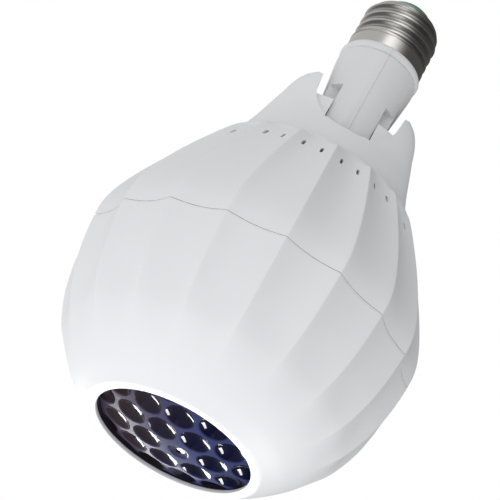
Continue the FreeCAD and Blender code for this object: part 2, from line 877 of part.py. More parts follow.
skirt = size("skirt_radius")
thread_crest = skirt - size("crest_drop")
cap_top = [
    (size("cap_bevel_radius"), seat + size("cap_bevel_height")),
    (size("cap_dome_radius"), seat + size("cap_dome_height")),
    (size("cap_mouth_radius"), seat + size("cap_mouth_height")),
    (0, seat + size("cap_mouth_height")),
]
step_height = skirt_top + (skirt - size("thread_root")) / 2
core = turned_solid([
    (0, seat),
    (skirt, seat),
    (skirt, skirt_top),
    (size("thread_root"), step_height),
    (size("thread_root"), seat + size("cap_shoulder")),
] + cap_top)
thread_top = seat + size("cap_shoulder") - size("shoulder_drop")
envelope = turned_solid([(0, seat), (skirt, seat), (skirt, thread_top)] + cap_top)
thread_low = skirt_top - size("thread_pitch") / 4
thread_rise = size("cap_shoulder") - size("skirt_height") + size("thread_pitch") / 2
helix = Part.makeHelix(size("thread_pitch"), thread_rise, size("thread_root"))
helix.translate(Vector(0, 0, thread_low))
half_ridge = size("thread_ridge") / 2
ridge_foot = size("thread_root") - size("sheet") / 2
ridge_arc = Part.Arc(
    Vector(ridge_foot, 0, thread_low - half_ridge),
    Vector(thread_crest, 0, thread_low),
    Vector(ridge_foot, 0, thread_low + half_ridge),
).toShape()
ridge_base = Part.LineSegment(
    Vector(ridge_foot, 0, thread_low + half_ridge), Vector(ridge_foot, 0, thread_low - half_ridge)
).toShape()
ridge = Part.Wire(helix).makePipeShell([Part.Wire([ridge_arc, ridge_base])], True, True)
inner_root = size("thread_root") - size("sheet")
inner_skirt = skirt - size("sheet")
inside_step = skirt_top - size("sheet")
hollow = turned_solid([
    (0, seat - OVERLAP),
    (inner_skirt, seat - OVERLAP),
    (inner_skirt, inside_step),
    (inner_root, inside_step),
    (inner_root, seat + size("cap_shoulder")),
    (size("cap_bevel_radius") - size("sheet"), seat + size("cap_bevel_height") - size("sheet") / 2),
    (size("cap_dome_radius") - size("sheet") / 2, seat + size("cap_dome_height") - size("sheet")),
    (size("cap_mouth_radius"), seat + size("cap_mouth_height") - size("sheet")),
    (size("cap_mouth_radius"), seat + size("cap_mouth_height") + OVERLAP),
    (0, seat + size("cap_mouth_height") + OVERLAP),
])
screw_cap = core.fuse(ridge).common(envelope).cut(hollow)
node("screw_cap", shaped("ScrewCap", screw_cap))

mouth = "cap_seat + cap_mouth_height"
insulator = turned_body("Insulator", [
    ("contact_stem_radius + seat_clearance", mouth + " - insulator_depth"),
    ("insulator_radius", mouth + " - insulator_depth"),
    ("insulator_radius", mouth + " - insulator_depth / 2"),
    ("cap_mouth_radius - seat_clearance", mouth + " - 2 * sheet"),
    ("cap_mouth_radius - seat_clearance", mouth + " + insulator_rise / 3"),
    ("contact_radius + insulator_land", mouth + " + insulator_rise"),
    ("contact_stem_radius + seat_clearance", mouth + " + insulator_rise"),
])
node("cap_insulator", insulator)
contact = turned_body("Contact", [
    ("0", mouth + " - contact_stem"),
    ("contact_stem_radius", mouth + " - contact_stem"),
    ("contact_stem_radius", mouth + " + insulator_rise"),
    ("contact_radius", mouth + " + insulator_rise"),
    ("contact_radius - contact_rise", mouth + " + insulator_rise + contact_rise"),
    ("0", mouth + " + insulator_rise + contact_rise"),
])
node("centre_contact", contact)

# Fly-eye lens: shallow dome with a hexagonal field of round dimples

disc_high = size("hub_height")
dome = Part.makeCylinder(size("lens_radius"), disc_high, hub)
dome = dome.common(Part.makeSphere(size("lens_curve"), dome_centre))
dome = dome.cut(Part.makeSphere(size("lens_curve") - size("lens_thickness"), dome_centre))
rim_drop = size("lens_curve") - math.sqrt(size("lens_curve") ** 2 - size("lens_radius") ** 2)
bevel_height = size("lens_recess") + rim_drop
bevel = Part.makeCone(
    size("lens_radius") - 2 * size("lens_chamfer"),
    size("lens_radius") + size("lens_chamfer"),
    3 * size("lens_chamfer"),
    hub + Vector(0, 0, bevel_height - size("lens_chamfer")),
)
keep_low = hub + Vector(0, 0, bevel_height + size("lens_chamfer"))
keep = Part.makeCylinder(size("lens_radius") + OVERLAP, disc_high, keep_low)
middle = Part.makeCylinder(size("lens_radius") - 2 * size("lens_chamfer"), disc_high, hub)
dome = dome.common(bevel.fuse([keep, middle]))
boss = Part.makeCylinder(size("hub_radius"), size("hub_height") - 2 * size("lens_recess"),
                         hub + Vector(0, 0, 2 * size("lens_recess")))
dome = dome.fuse(boss)

pitch = size("cell_pitch")
rings = int(size("lens_radius") / pitch) + 1
cell_offset = math.sqrt(size("cell_curve") ** 2 - size("cell_radius") ** 2)
dimples = []
for row in range(-rings, rings + 1):
    for column in range(-rings, rings + 1):
        spot = Vector(pitch * (column + row / 2), pitch * row * math.sqrt(3) / 2, 0)
        reach = spot.Length
        if reach < pitch / 2 or reach > size("lens_radius"):
            continue
        turn = Rotation(Vector(0, 0, 1), size("cell_turn"))
        spot = turn.multVec(spot)
        drop = math.sqrt(size("lens_curve") ** 2 - reach ** 2)
        outward = Vector(spot.x, spot.y, -drop) / size("lens_curve")
        centre = dome_centre + outward * (size("lens_curve") + cell_offset)
        dimples.append(Part.makeSphere(size("cell_curve"), centre))
field = Part.makeCylinder(size("lens_radius") - size("lens_chamfer"), disc_high, hub)
dimples = [dimple.common(field) for dimple in dimples]
shaft_bore = Part.makeCylinder(size("shaft_radius"), 2 * disc_high, hub)
ring_recess = Part.makeCylinder(size("hub_ring_radius"), size("lens_recess") + size("hub_ring_depth"), hub)
lens = dome.cut(dimples).cut(shaft_bore).cut(ring_recess)
node("fly_eye_lens", shaped("FlyEyeLens", lens))
shaft_length = "shaft_end - shaft_start"
node("drive_shaft", cylinder("DriveShaft", "shaft_radius", shaft_length, "hub_x", "hub_y", "shaft_start"))

# Geared motor behind the hub, screwed to the front plate of the optics holder

plate_top = "holder_front + holder_plate"
motor = turned_body("Motor", [
    ("shaft_radius + shaft_clearance", plate_top + " - motor_nose"),
    ("motor_nose_radius", plate_top + " - motor_nose"),
    ("motor_nose_radius", plate_top),
    ("motor_radius", plate_top),
    ("motor_radius", plate_top + " + gearbox_length"),
    ("motor_can_radius", plate_top + " + gearbox_length"),
    ("motor_can_radius", plate_top + " + motor_length"),
    ("0", plate_top + " + motor_length"),
    ("0", "shaft_end + seat_clearance"),
    ("shaft_radius + shaft_clearance", "shaft_end + seat_clearance"),
])
place(motor, "hub_x", "hub_y")


def screw(name, x, y, seat_height, upward, length="screw_length", head="screw_head_radius"):
    """Pan-head screw whose head rests on seat_height; its shank points up or down."""
    toward = Vector(0, 0, 1 if upward else -1)
    head_height = "%s %s screw_head" % (seat_height, "-" if upward else "+")
    return fuse(name, [
        cylinder(name + "Shank", "screw_radius", length, x, y, seat_height, toward),
        cylinder(name + "Head", head, "screw_head", x, y, head_height, toward),
    ])


def spots(circle_rule, count, turn, x="0", y="0"):
    """Places on a circle as rules for x and y; count and turn are names of sizes, or numbers."""
    number = int(value_of(str(count)))
    for index in range(number):
        angle = value_of(str(turn)) + 360.0 * index / number
        yield (
            "%s + %s * %.9f" % (x, circle_rule, math.cos(math.radians(angle))),
            "%s + %s * %.9f" % (y, circle_rule, math.sin(math.radians(angle))),
        )


motor_screw_bores = []
motor_screws = []
motor_spots = spots("motor_screw_circle", "motor_screw_count", "motor_screw_turn", "hub_x", "hub_y")
for index, (x, y) in enumerate(motor_spots):
    motor_screws.append(screw("MotorScrew%d" % index, x, y, "holder_front", True, head="small_head_radius"))
    bore = cylinder("MotorBore%d" % index, "screw_radius", "screw_length", x, y, "holder_front")
    motor_screw_bores.append(bore)
node("motor_case", cut("MotorCase", motor, fuse("MotorBores", motor_screw_bores)))
node("motor_screws", group("MotorScrews", motor_screws))

# Discs with holes, for the holder, frame and boards

def holes(owner, name, radius, circle_rule, count, turn, lift, depth, x="0", y="0"):
    """Ring of round holes cut upwards from the level given by lift."""
    profile = sketch(owner, name + "_profile", "XY_Plane", lift)
    bind(profile, AttachmentOffset__Base__x=x, AttachmentOffset__Base__y=y)
    first_x, first_y = next(spots(circle_rule, 1, turn))
    circle(profile, radius, first_x, first_y)
    feature = pocket(owner, profile, depth, name)
    doc.recompute()
    return ring_of(owner, [feature], count, name + "_ring")


def disc(name, radius, height, thickness, opening=None):
    owner = body(name)
    profile = circle(sketch(owner, name + "_profile", "XY_Plane", height), radius)
    if opening:
        circle(profile, opening)
    pad(owner, profile, thickness, name + "_pad")
    doc.recompute()
    return owner


# Optics holder: cup with a front plate, four stepped light tubes and a flange

flange_low = "frame_height - holder_flange"
holder = turned_body("Holder", [
    ("0", "holder_front"),
    ("holder_radius", "holder_front"),
    ("holder_radius", flange_low),
    ("holder_flange_radius", flange_low),
    ("holder_flange_radius", "frame_height"),
    ("holder_radius - holder_wall", "frame_height"),
    ("holder_radius - holder_wall", plate_top),
    ("0", plate_top),
])
doc.recompute()
tube_profile = sketch(holder, "tube_profile", "XY_Plane", plate_top + " - holder_plate / 2")
bind(tube_profile, AttachmentOffset__Base__x="hub_x", AttachmentOffset__Base__y="hub_y")
circle(tube_profile, "tube_outer", "optic_circle")
tube = pad(holder, tube_profile, "tube_length + holder_plate / 2", "tube")
doc.recompute()
ring_of(holder, [tube], "optic_count", "tube_ring")
doc.recompute()
for name, radius, lift, depth in (
    ("light_hole", "light_hole_radius", "holder_front", "holder_plate"),
    ("tube_hole", "tube_bore", plate_top, "tube_length"),
    ("seat_hole", "condenser_radius + seat_clearance", plate_top + " + condenser_seat", "tube_length"),
):
    holes(holder, name, radius, "optic_circle", "optic_count", 0, lift, depth, "hub_x", "hub_y")
nose_profile = circle(sketch(holder, "nose_profile", "XY_Plane", "holder_front"),
                      "motor_nose_radius + hinge_gap", "hub_x", "hub_y")
pocket(holder, nose_profile, "holder_plate", "nose_hole")
doc.recompute()
holes(holder, "motor_hole", "screw_hole", "motor_screw_circle", "motor_screw_count", "motor_screw_turn",
      "holder_front", "holder_plate", "hub_x", "hub_y")
holes(holder, "flange_hole", "screw_hole", "holder_screw_circle", "holder_screw_count", "holder_screw_turn",
      flange_low, "holder_flange")
node("optics_holder", holder)

slides = []
condensers = []
STAR_ARMS = 6
for index, (x, y) in enumerate(spots("optic_circle", "optic_count", 0, "hub_x", "hub_y")):
    film = cylinder("SlideFilm%d" % index, "slide_radius", "slide_thickness", x, y, plate_top)
    arms = []
    for arm in range(STAR_ARMS // 2):
        bar = doc.addObject("Part::Box", "SlideArm%d_%d" % (index, arm))
        turn = Rotation(Vector(0, 0, 1), 360.0 * arm / STAR_ARMS)
        bar.Placement = Placement(Vector(), turn)
        bind(bar, Length="slide_arm", Width="slide_slit", Height="slide_thickness")
        lean_x = turn.multVec(Vector(1, 0, 0))
        lean_y = turn.multVec(Vector(0, 1, 0))
        place(bar,
              "%s - (%.9f) * slide_arm / 2 - (%.9f) * slide_slit / 2" % (x, lean_x.x, lean_y.x),
              "%s - (%.9f) * slide_arm / 2 - (%.9f) * slide_slit / 2" % (y, lean_x.y, lean_y.y),
              plate_top)
        arms.append(bar)
    slides.append(cut("Slide%d" % index, film, fuse("SlideStar%d" % index, arms)))
    seat_level = plate_top + " + condenser_seat"
    blank_height = "condenser_edge + condenser_crown"
    ball = bind(doc.addObject("Part::Sphere", "CondenserBall%d" % index), Radius="condenser_curve")
    place(ball, x, y, "%s + %s - condenser_curve" % (seat_level, blank_height))
    condenser = doc.addObject("Part::MultiCommon", "Condenser%d" % index)
    condenser.Shapes = [
        cylinder("CondenserBlank%d" % index, "condenser_radius", blank_height, x, y, seat_level),
        ball,
    ]
    condensers.append(condenser)
node("slide_discs", group("SlideDiscs", slides))
node("condenser_lenses", group("CondenserLenses", condensers))

# Inner frame on the screw posts, with posts for the driver board

frame = disc("Frame", "frame_radius", "frame_height", "frame_thickness", "frame_opening")
frame_top = "frame_height + frame_thickness"
board_top = "board_height + board_thickness"
post_profile = sketch(frame, "board_post_profile", "XY_Plane", "frame_height")
circle(post_profile, "board_post_radius", "board_post_circle")
board_post = pad(frame, post_profile, "board_height - frame_height", "board_post")
doc.recompute()
ring_of(frame, [board_post], "board_post_count", "board_post_ring")
doc.recompute()
holes(frame, "post_pilot", "screw_radius", "board_post_circle", "board_post_count", 0,
      "board_height - screw_length", "screw_length")
for name, radius, ring, count, turn in (
    ("frame_hole", "screw_hole", "post_circle", "post_count", "post_turn"),
    ("sink_pilot", "screw_radius", "sink_screw_circle", "sink_screw_count", "sink_screw_turn"),
    ("holder_pilot", "screw_radius", "holder_screw_circle", "holder_screw_count", "holder_screw_turn"),
):
    holes(frame, name, radius, ring, count, turn, "frame_height", "frame_thickness")
node("inner_frame", frame)

# Light source: round board under the heat sink, with one chip above each light tube

led_face = frame_top + " - led_board_thickness"
led_board = disc("LedBoard", "led_board_radius", led_face, "led_board_thickness")
holes(led_board, "led_board_hole", "screw_hole", "led_screw_circle", "led_screw_count", "led_screw_turn",
      led_face, "led_board_thickness")
node("led_board", led_board)
chips = [
    box("LedChip%d" % index, "led_size", "led_size", "led_height", x, y, led_face + " - led_height")
    for index, (x, y) in enumerate(spots("optic_circle", "optic_count", 0, "hub_x", "hub_y"))
]
node("led_chips", group("LedChips", chips))

sink = disc("HeatSink", "sink_radius", frame_top, "sink_base")
fin_profile = circle(sketch(sink, "fin_profile", "XY_Plane", frame_top + " + sink_base"), "fin_radius")
pad(sink, fin_profile, "fin_height", "fin_block")
doc.recompute()
slot_profile = sketch(sink, "fin_slot_profile", "XY_Plane", frame_top + " + sink_base")
first = "-fin_pitch * (fin_slots - 1) / 2"
outline(slot_profile, [
    (first + " - fin_slot / 2", "-fin_radius - fin_slot"),
    (first + " + fin_slot / 2", "-fin_radius - fin_slot"),
    (first + " + fin_slot / 2", "fin_radius + fin_slot"),
    (first + " - fin_slot / 2", "fin_radius + fin_slot"),
])
fin_slot = pocket(sink, slot_profile, "fin_height", "fin_slot")
doc.recompute()
fins = sink.newObject("PartDesign::LinearPattern", "fin_pattern")
fins.Originals = [fin_slot]
fins.Direction = (slot_profile, ["H_Axis"])
bind(fins, Length="fin_pitch * (fin_slots - 1)", Occurrences="fin_slots")
sink.Tip = fins
doc.recompute()
holes(sink, "sink_hole", "screw_hole", "sink_screw_circle", "sink_screw_count", "sink_screw_turn",
      frame_top, "sink_base")
holes(sink, "led_pilot", "screw_radius", "led_screw_circle", "led_screw_count", "led_screw_turn",
      frame_top, "sink_base")
node("heat_sink", sink)


def screws(node_name, name, ring, seat_height, upward, length):
    """Ring of like screws; ring holds the circle, the count and the turn of the first."""
    items = [
        screw("%s%d" % (name, index), x, y, seat_height, upward, length)
        for index, (x, y) in enumerate(spots(*ring))
    ]
    node(node_name, group(name, items))


post_ring = ("post_circle", "post_count", "post_turn")
holder_ring = ("holder_screw_circle", "holder_screw_count", "holder_screw_turn")
sink_ring = ("sink_screw_circle", "sink_screw_count", "sink_screw_turn")
led_ring = ("led_screw_circle", "led_screw_count", "led_screw_turn")
board_ring = ("board_post_circle", "board_post_count", 0)
screws("frame_screws", "FrameScrew", post_ring, frame_top, False, "screw_length")
screws("holder_screws", "HolderScrew", holder_ring, flange_low, True, "short_screw_length")
screws("sink_screws", "SinkScrew", sink_ring, frame_top + " + sink_base", False, "short_screw_length")
screws("led_board_screws", "LedBoardScrew", led_ring, led_face, True, "led_screw_length")
screws("board_screws", "BoardScrew", board_ring, board_top, False, "screw_length")

# Driver board and what is soldered on it

driver_board = disc("DriverBoard", "board_radius", "board_height", "board_thickness", "wire_hole_radius")
holes(driver_board, "board_hole", "screw_hole", "board_post_circle", "board_post_count", 0, "board_height",
      "board_thickness")
node("driver_board", driver_board)

capacitor = turned_body("Capacitor", [
    ("0", board_top),
    ("capacitor_radius", board_top),
    ("capacitor_radius", board_top + " + capacitor_groove"),
    ("capacitor_radius - resistor_wire / 2", board_top + " + capacitor_groove + resistor_wire"),
    ("capacitor_radius", board_top + " + capacitor_groove + 2 * resistor_wire"),
    ("capacitor_radius", board_top + " + capacitor_height - resistor_wire"),
    ("capacitor_radius - resistor_wire", board_top + " + capacitor_height"),
    ("0", board_top + " + capacitor_height"),
])
node("capacitor", place(capacitor, "capacitor_x", "capacitor_y"))

coil_level = board_top + " + (transformer_height - coil_height) / 2"
transformer = fuse("Transformer", [
    box("TransformerCore", "transformer_width", "core_depth", "transformer_height",
        "transformer_x", "transformer_y", board_top),
    box("TransformerCoil", "coil_width", "transformer_depth", "coil_height",
        "transformer_x", "transformer_y", coil_level),
])
node("transformer", transformer)

rectifier = fuse("Rectifier", [
    box("RectifierCase", "rectifier_width", "rectifier_depth", "rectifier_height",
        "rectifier_x", "rectifier_y", board_top),
] + [
    box("RectifierLeg%d" % index, "resistor_wire * 2", "rectifier_depth + 4 * resistor_wire", "resistor_wire",
        "rectifier_x + (%d) * rectifier_leg_spread" % side, "rectifier_y", board_top)
    for index, side in enumerate((-1, 1))
])
node("rectifier", rectifier)

UPRIGHT = 0.99
film = doc.addObject("Part::Fillet", "FilmCapacitor")
film.Base = box("FilmBlock", "film_width", "film_depth", "film_height", "film_x", "film_y", board_top)
doc.recompute()
upright = [
    number for number, edge in enumerate(film.Base.Shape.Edges, start=1)
    if abs(edge.tangentAt(edge.FirstParameter).z) > UPRIGHT
]
film.Edges = [(number, size("film_round"), size("film_round")) for number in upright]
node("film_capacitor", film)

resistor_height = board_top + " + resistor_lift"
resistor = fuse("FuseResistor", [
    cylinder("ResistorBody", "resistor_radius", "resistor_length",
             "resistor_x - resistor_length / 2", "resistor_y", resistor_height, Vector(1, 0, 0)),
    cylinder("ResistorLead", "resistor_wire", "resistor_length + 2 * resistor_bend",
             "resistor_x - resistor_length / 2 - resistor_bend", "resistor_y",
             resistor_height, Vector(1, 0, 0)),
] + [
    cylinder("ResistorLeg%d" % index, "resistor_wire", "resistor_lift",
             "resistor_x + (%d) * (resistor_length / 2 + resistor_bend - resistor_wire)" % side,
             "resistor_y", board_top)
    for index, side in enumerate((-1, 1))
])
node("fuse_resistor", resistor)


def wire_plug(node_name, name, x, y):
    shell = cut(
        name + "Shell",
        box(name + "Block", "plug_width", "plug_depth", "plug_height", x, y, board_top),
        box(name + "Cavity", "plug_width - 2 * plug_wall", "plug_depth - 2 * plug_wall",
            "plug_height", x, y, board_top + " + plug_wall"),
    )
    pins = [
        cylinder(name + "Pin%d" % index, "resistor_wire", "plug_height - plug_wall",
                 "%s + (%d) * plug_pin_spread" % (x, side), y, board_top + " + plug_wall / 2")
        for index, side in enumerate((-1, 1))
    ]
    node(node_name, fuse(name, [shell] + pins))


wire_plug("led_connector", "LedPlug", "led_plug_x", "led_plug_y")
wire_plug("motor_connector", "MotorPlug", "motor_plug_x", "motor_plug_y")

# Check and write

doc.recompute()
for item in doc.Objects:
    faults = [state for state in item.State if state in ("Invalid", "Error")]
    if faults:
        raise RuntimeError("%s did not build: %s" % (item.Label, item.State))

for item in NODES:
    shape = item.Shape
    if shape.isNull() or not shape.isValid() or not shape.Solids:
        raise RuntimeError("%s has no valid solid" % item.Label)

for item in NODES:
    item.Shape.exportStep("parts/%s.step" % item.Label)
    print("%-18s %2d solid(s) %9.1f mm3" % (item.Label, len(item.Shape.Solids), item.Shape.Volume))
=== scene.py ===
import math

import bmesh
import bpy
from mathutils import Matrix, Vector


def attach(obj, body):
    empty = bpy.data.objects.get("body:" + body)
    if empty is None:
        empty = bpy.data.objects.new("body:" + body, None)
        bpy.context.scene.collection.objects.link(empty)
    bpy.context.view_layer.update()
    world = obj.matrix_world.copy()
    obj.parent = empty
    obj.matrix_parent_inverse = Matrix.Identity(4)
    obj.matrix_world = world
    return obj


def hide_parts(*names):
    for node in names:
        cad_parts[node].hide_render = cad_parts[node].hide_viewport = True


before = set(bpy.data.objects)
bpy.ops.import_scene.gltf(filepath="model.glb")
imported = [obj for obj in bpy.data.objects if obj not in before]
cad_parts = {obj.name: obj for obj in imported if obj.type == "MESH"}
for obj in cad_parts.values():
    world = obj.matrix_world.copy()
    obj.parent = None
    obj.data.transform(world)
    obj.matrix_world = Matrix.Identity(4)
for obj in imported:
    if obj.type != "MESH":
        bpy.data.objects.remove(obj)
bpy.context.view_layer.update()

bl_info = {
    "name": "Snowflake Projector Bulb",
    "version": (1, 0, 0),
    "blender": (4, 5, 0),
    "location": "3D View > Sidebar > Bulb",
    "description": "Builds a fluted projector bulb with a fly-eye lens, a tilting neck and a screw cap",
    "category": "Add Mesh",
}

MM = 0.001

# Outline of the housing, in millimetres: height and ridge radius
RIDGES = (
    (0.0, 28.4), (5.0, 34.6), (12.0, 41.4), (20.0, 47.1), (33.0, 51.9), (51.0, 54.3), (60.0, 52.8),
    (74.0, 46.9), (90.0, 38.2), (104.0, 29.7), (122.0, 24.1), (132.0, 20.7), (135.3, 15.6),
)

# Heights, in millimetres
FLOOR = -1.2
LENS_FACE = -0.9
WINDOW_BACK = 1.3
PARTING = 48.2
SEAM = 0.12
FLUTES_START = (8.0, 30.0)
VENTS = 90.0
FLUTES_FADE = 95.0
FLARE = 98.0
ROOM_TOP = 105.2
SLOT_FLOOR = 115.2
HORN_CENTRE = 121.2
PIVOT = 124.0
HORN_TOP = 135.3
CAP_SEAT = 150.9

# Other sizes of the crown and the lens, in millimetres
HORN_DEPTH = 14.1
SLOT_HALF = 8
CHEEK_HALF = 12.4
NOTCH_HALF = 14
SWING = 16.37
CHEEK_RADIUS = 7.2
TILT = 30
BOSS_RADIUS = 5.4
BOSS_OUT = 15
WIRE_HOLE = 4.5
SCOOP_RADIUS = 14.6
SCOOP_CENTRE = 128.2
SCOOP_DEPTH = 1.1
HUB = (2.9, 2.3)
FAR = 60
SKY = 160
WELD = 0.005

# Share by which the columns of a flute gather at its ridges
GATHER = 0.8

# Radius and rise above the seat of the cap, in millimetres
CAP_SHOULDER = ((12.1, 18.0), (11.9, 18.5), (11.6, 19.0), (11.1, 19.6), (10.4, 20.2), (9.6, 20.6), (8.9, 20.9))
GLASS = (
    (1.4, 19.8), (8.5, 19.8), (8.75, 20.7), (8.4, 21.8), (7.6, 22.9), (6.5, 23.8), (5.3, 24.6), (4.2, 25.2),
    (3.2, 26.0), (1.4, 26.0),
)


# Settings that a user would change

LENGTH = {"subtype": "DISTANCE", "unit": "LENGTH"}
ANGLE = {"subtype": "ANGLE", "unit": "ROTATION"}
COLOUR = {"size": 3, "subtype": "COLOR", "min": 0, "max": 1}


class BulbHousing(bpy.types.PropertyGroup):
    flutes: bpy.props.IntProperty(name="Flutes", description="Number of flutes round the housing", default=18, min=3)
    flute_depth: bpy.props.FloatProperty(
        name="Flute Depth", description="Depth of a flute at the belly", default=2.3 * MM, **LENGTH)
    ridge_softness: bpy.props.FloatProperty(
        name="Ridge Softness", description="Rounding of the ridges between flutes", default=0.05, min=0.001)
    wall: bpy.props.FloatProperty(name="Wall", description="Thickness of the shells", default=1.9 * MM, **LENGTH)
    window_radius: bpy.props.FloatProperty(
        name="Window Radius", description="Radius of the round window", default=25.3 * MM, **LENGTH)
    vent_width: bpy.props.FloatProperty(
        name="Vent Width", description="Width of a vent slot", default=0.95 * MM, **LENGTH)
    vent_length: bpy.props.FloatProperty(
        name="Vent Length", description="Length of a vent slot", default=2.6 * MM, **LENGTH)
    vent_spread: bpy.props.FloatProperty(
        name="Vent Spread", description="Angle from the middle of a flute to its vents", default=math.radians(4.7),
        **ANGLE)


class BulbLens(bpy.types.PropertyGroup):
    radius: bpy.props.FloatProperty(name="Radius", description="Radius of the lens", default=29.4 * MM, **LENGTH)
    curve: bpy.props.FloatProperty(
        name="Curve", description="Radius of the dome of the lens", default=95.0 * MM, **LENGTH)
    thickness: bpy.props.FloatProperty(
        name="Thickness", description="Thickness of the dome", default=3.2 * MM, **LENGTH)
    cell_pitch: bpy.props.FloatProperty(
        name="Cell Pitch", description="Distance between dimples", default=10.6 * MM, **LENGTH)
    cell_radius: bpy.props.FloatProperty(
        name="Cell Radius", description="Radius of a dimple's edge", default=5.1 * MM, **LENGTH)
    cell_curve: bpy.props.FloatProperty(
        name="Cell Curve", description="Radius of the hollow of a dimple", default=8.2 * MM, **LENGTH)
    cell_turn: bpy.props.FloatProperty(
        name="Cell Turn", description="Turn of the rows of dimples", default=math.radians(-14.0), **ANGLE)
    deep: bpy.props.FloatVectorProperty(
        name="Hollows", description="Colour of the hollows towards the right", default=(0.002, 0.003, 0.024), **COLOUR)
    # Painted light: the hollows towards the left are painted lighter and browner than the lens's own dark navy.
    lit_side_hollows: bpy.props.FloatVectorProperty(
        name="Warm Hollows", description="Colour of the hollows towards the left", default=(0.030, 0.020, 0.026),
        **COLOUR)


class BulbCap(bpy.types.PropertyGroup):
    pitch: bpy.props.FloatProperty(
        name="Pitch", description="Rise of one turn of the thread", default=3.629 * MM, **LENGTH)
    depth: bpy.props.FloatProperty(
        name="Thread Depth", description="Height of the thread from root to crest", default=0.95 * MM, **LENGTH)
    sheet: bpy.props.FloatProperty(
        name="Sheet", description="Thickness of the rolled sheet", default=0.3 * MM, **LENGTH)


class BulbFinish(bpy.types.PropertyGroup):
    white: bpy.props.FloatVectorProperty(
        name="White Plastic", description="Colour of the housing and neck", default=(0.80, 0.805, 0.82), **COLOUR)
    cap_metal: bpy.props.FloatVectorProperty(
        name="Cap Metal", description="Colour of the screw cap", default=(0.60, 0.58, 0.55), **COLOUR)
    insulator: bpy.props.FloatVectorProperty(
        name="Insulator", description="Colour of the insulator at the tip", default=(0.02, 0.30, 0.13), **COLOUR)
    floor: bpy.props.FloatVectorProperty(
        name="Floor", description="Colour of the floor", default=(0.86, 0.86, 0.86), **COLOUR)


class BulbSettings(bpy.types.PropertyGroup):
    housing: bpy.props.PointerProperty(type=BulbHousing)
    lens: bpy.props.PointerProperty(type=BulbLens)
    cap: bpy.props.PointerProperty(type=BulbCap)
    finish: bpy.props.PointerProperty(type=BulbFinish)


# Node trees

class Value:
    """A number in a node tree. Arithmetic on it adds Math nodes."""

    def __init__(self, tree, socket):
        self.tree = tree
        self.socket = socket

    def __add__(self, other):
        return self.tree.math("ADD", self, other)

    __radd__ = __add__

    def __sub__(self, other):
        return self.tree.math("SUBTRACT", self, other)

    def __rsub__(self, other):
        return self.tree.math("SUBTRACT", other, self)

    def __mul__(self, other):
        return self.tree.math("MULTIPLY", self, other)

    __rmul__ = __mul__

    def __truediv__(self, other):
        return self.tree.math("DIVIDE", self, other)

    def __rtruediv__(self, other):
        return self.tree.math("DIVIDE", other, self)


class Tree:
    """Adds nodes to a shader or geometry node tree."""

    def __init__(self, node_tree):
        self.tree = node_tree

    def add(self, kind, settings=None, inputs=None):
        node = self.tree.nodes.new(kind)
        for name, value in (settings or {}).items():
            setattr(node, name, value)
        for key, value in (inputs or {}).items():
            self.feed(node.inputs[key], value)
        return node

    def feed(self, socket, value):
        value = getattr(value, "socket", value)
        if isinstance(value, bpy.types.NodeSocket):
            self.tree.links.new(value, socket)
        else:
            socket.default_value = value

    def value(self, kind, settings=None, inputs=None, output=0):
        return Value(self, self.add(kind, settings, inputs).outputs[output])

    def math(self, operation, *operands):
        return self.value("ShaderNodeMath", {"operation": operation}, dict(enumerate(operands)))

    def root(self, value):
        return self.math("SQRT", value)

    def smooth(self, value, low, high):
        """0 below low, 1 above high, and smooth between them."""
        return self.value("ShaderNodeMapRange", {"interpolation_type": "SMOOTHSTEP"},
                          {"Value": value, "From Min": low, "From Max": high})

    def combine(self, x, y, z):
        return self.add("ShaderNodeCombineXYZ", None, {"X": x, "Y": y, "Z": z}).outputs[0]

    def separate(self, vector):
        node = self.add("ShaderNodeSeparateXYZ", None, {"Vector": vector})
        return [Value(self, output) for output in node.outputs]

    def mix(self, factor, first, second):
        """Colour between first and second."""
        node = self.add("ShaderNodeMix", {"data_type": "RGBA"}, {0: factor, 6: first, 7: second})
        return node.outputs[2]


def rgba(colour, part=1.0):
    """The colour, or part of its brightness, for a colour socket."""
    return tuple(c * part for c in colour) + (1.0,)


def cleared(holder):
    """Empty node tree of a new material or world."""
    holder.use_nodes = True
    holder.node_tree.nodes.clear()
    return Tree(holder.node_tree)


class Finish(Tree):
    """A material whose pattern is laid out in the object's own coordinates."""

    def __init__(self, name, **shader):
        self.material = bpy.data.materials.new(name)
        self.material.use_nodes = True
        super().__init__(self.material.node_tree)
        self.shader = self.tree.nodes["Principled BSDF"]
        self.place = self.add("ShaderNodeTexCoord").outputs["Object"]
        for key, value in shader.items():
            self.feed(self.shader.inputs[key.replace("_", " ")], value)

    def noise(self, scale, detail, roughness=0.5, vector=None):
        return self.value("ShaderNodeTexNoise", None, {
            "Vector": vector or self.place, "Scale": scale, "Detail": detail, "Roughness": roughness})

    def stretched(self, x, y, z):
        """Object coordinates scaled along each axis."""
        return self.add("ShaderNodeMapping", None, {"Vector": self.place, "Scale": (x, y, z)}).outputs[0]

    def surface(self, colour, rough, height, depth):
        """The material, with its colour, its roughness and a relief of that depth in millimetres."""
        bump = self.add("ShaderNodeBump", None, {"Height": height, "Distance": depth * MM})
        for name, value in (("Base Color", colour), ("Roughness", rough), ("Normal", bump.outputs[0])):
            self.feed(self.shader.inputs[name], value)
        return self.material


def white_plastic(name, colour):
    finish = Finish(name, IOR=1.46)
    cloud = finish.noise(14, 3)
    grain = finish.noise(1500, 2)
    return finish.surface(
        finish.mix(cloud, rgba(colour, 0.985), rgba(colour)), 0.38 + 0.1 * cloud + 0.03 * grain,
        grain + 2.0 * finish.noise(90, 2), 0.006)


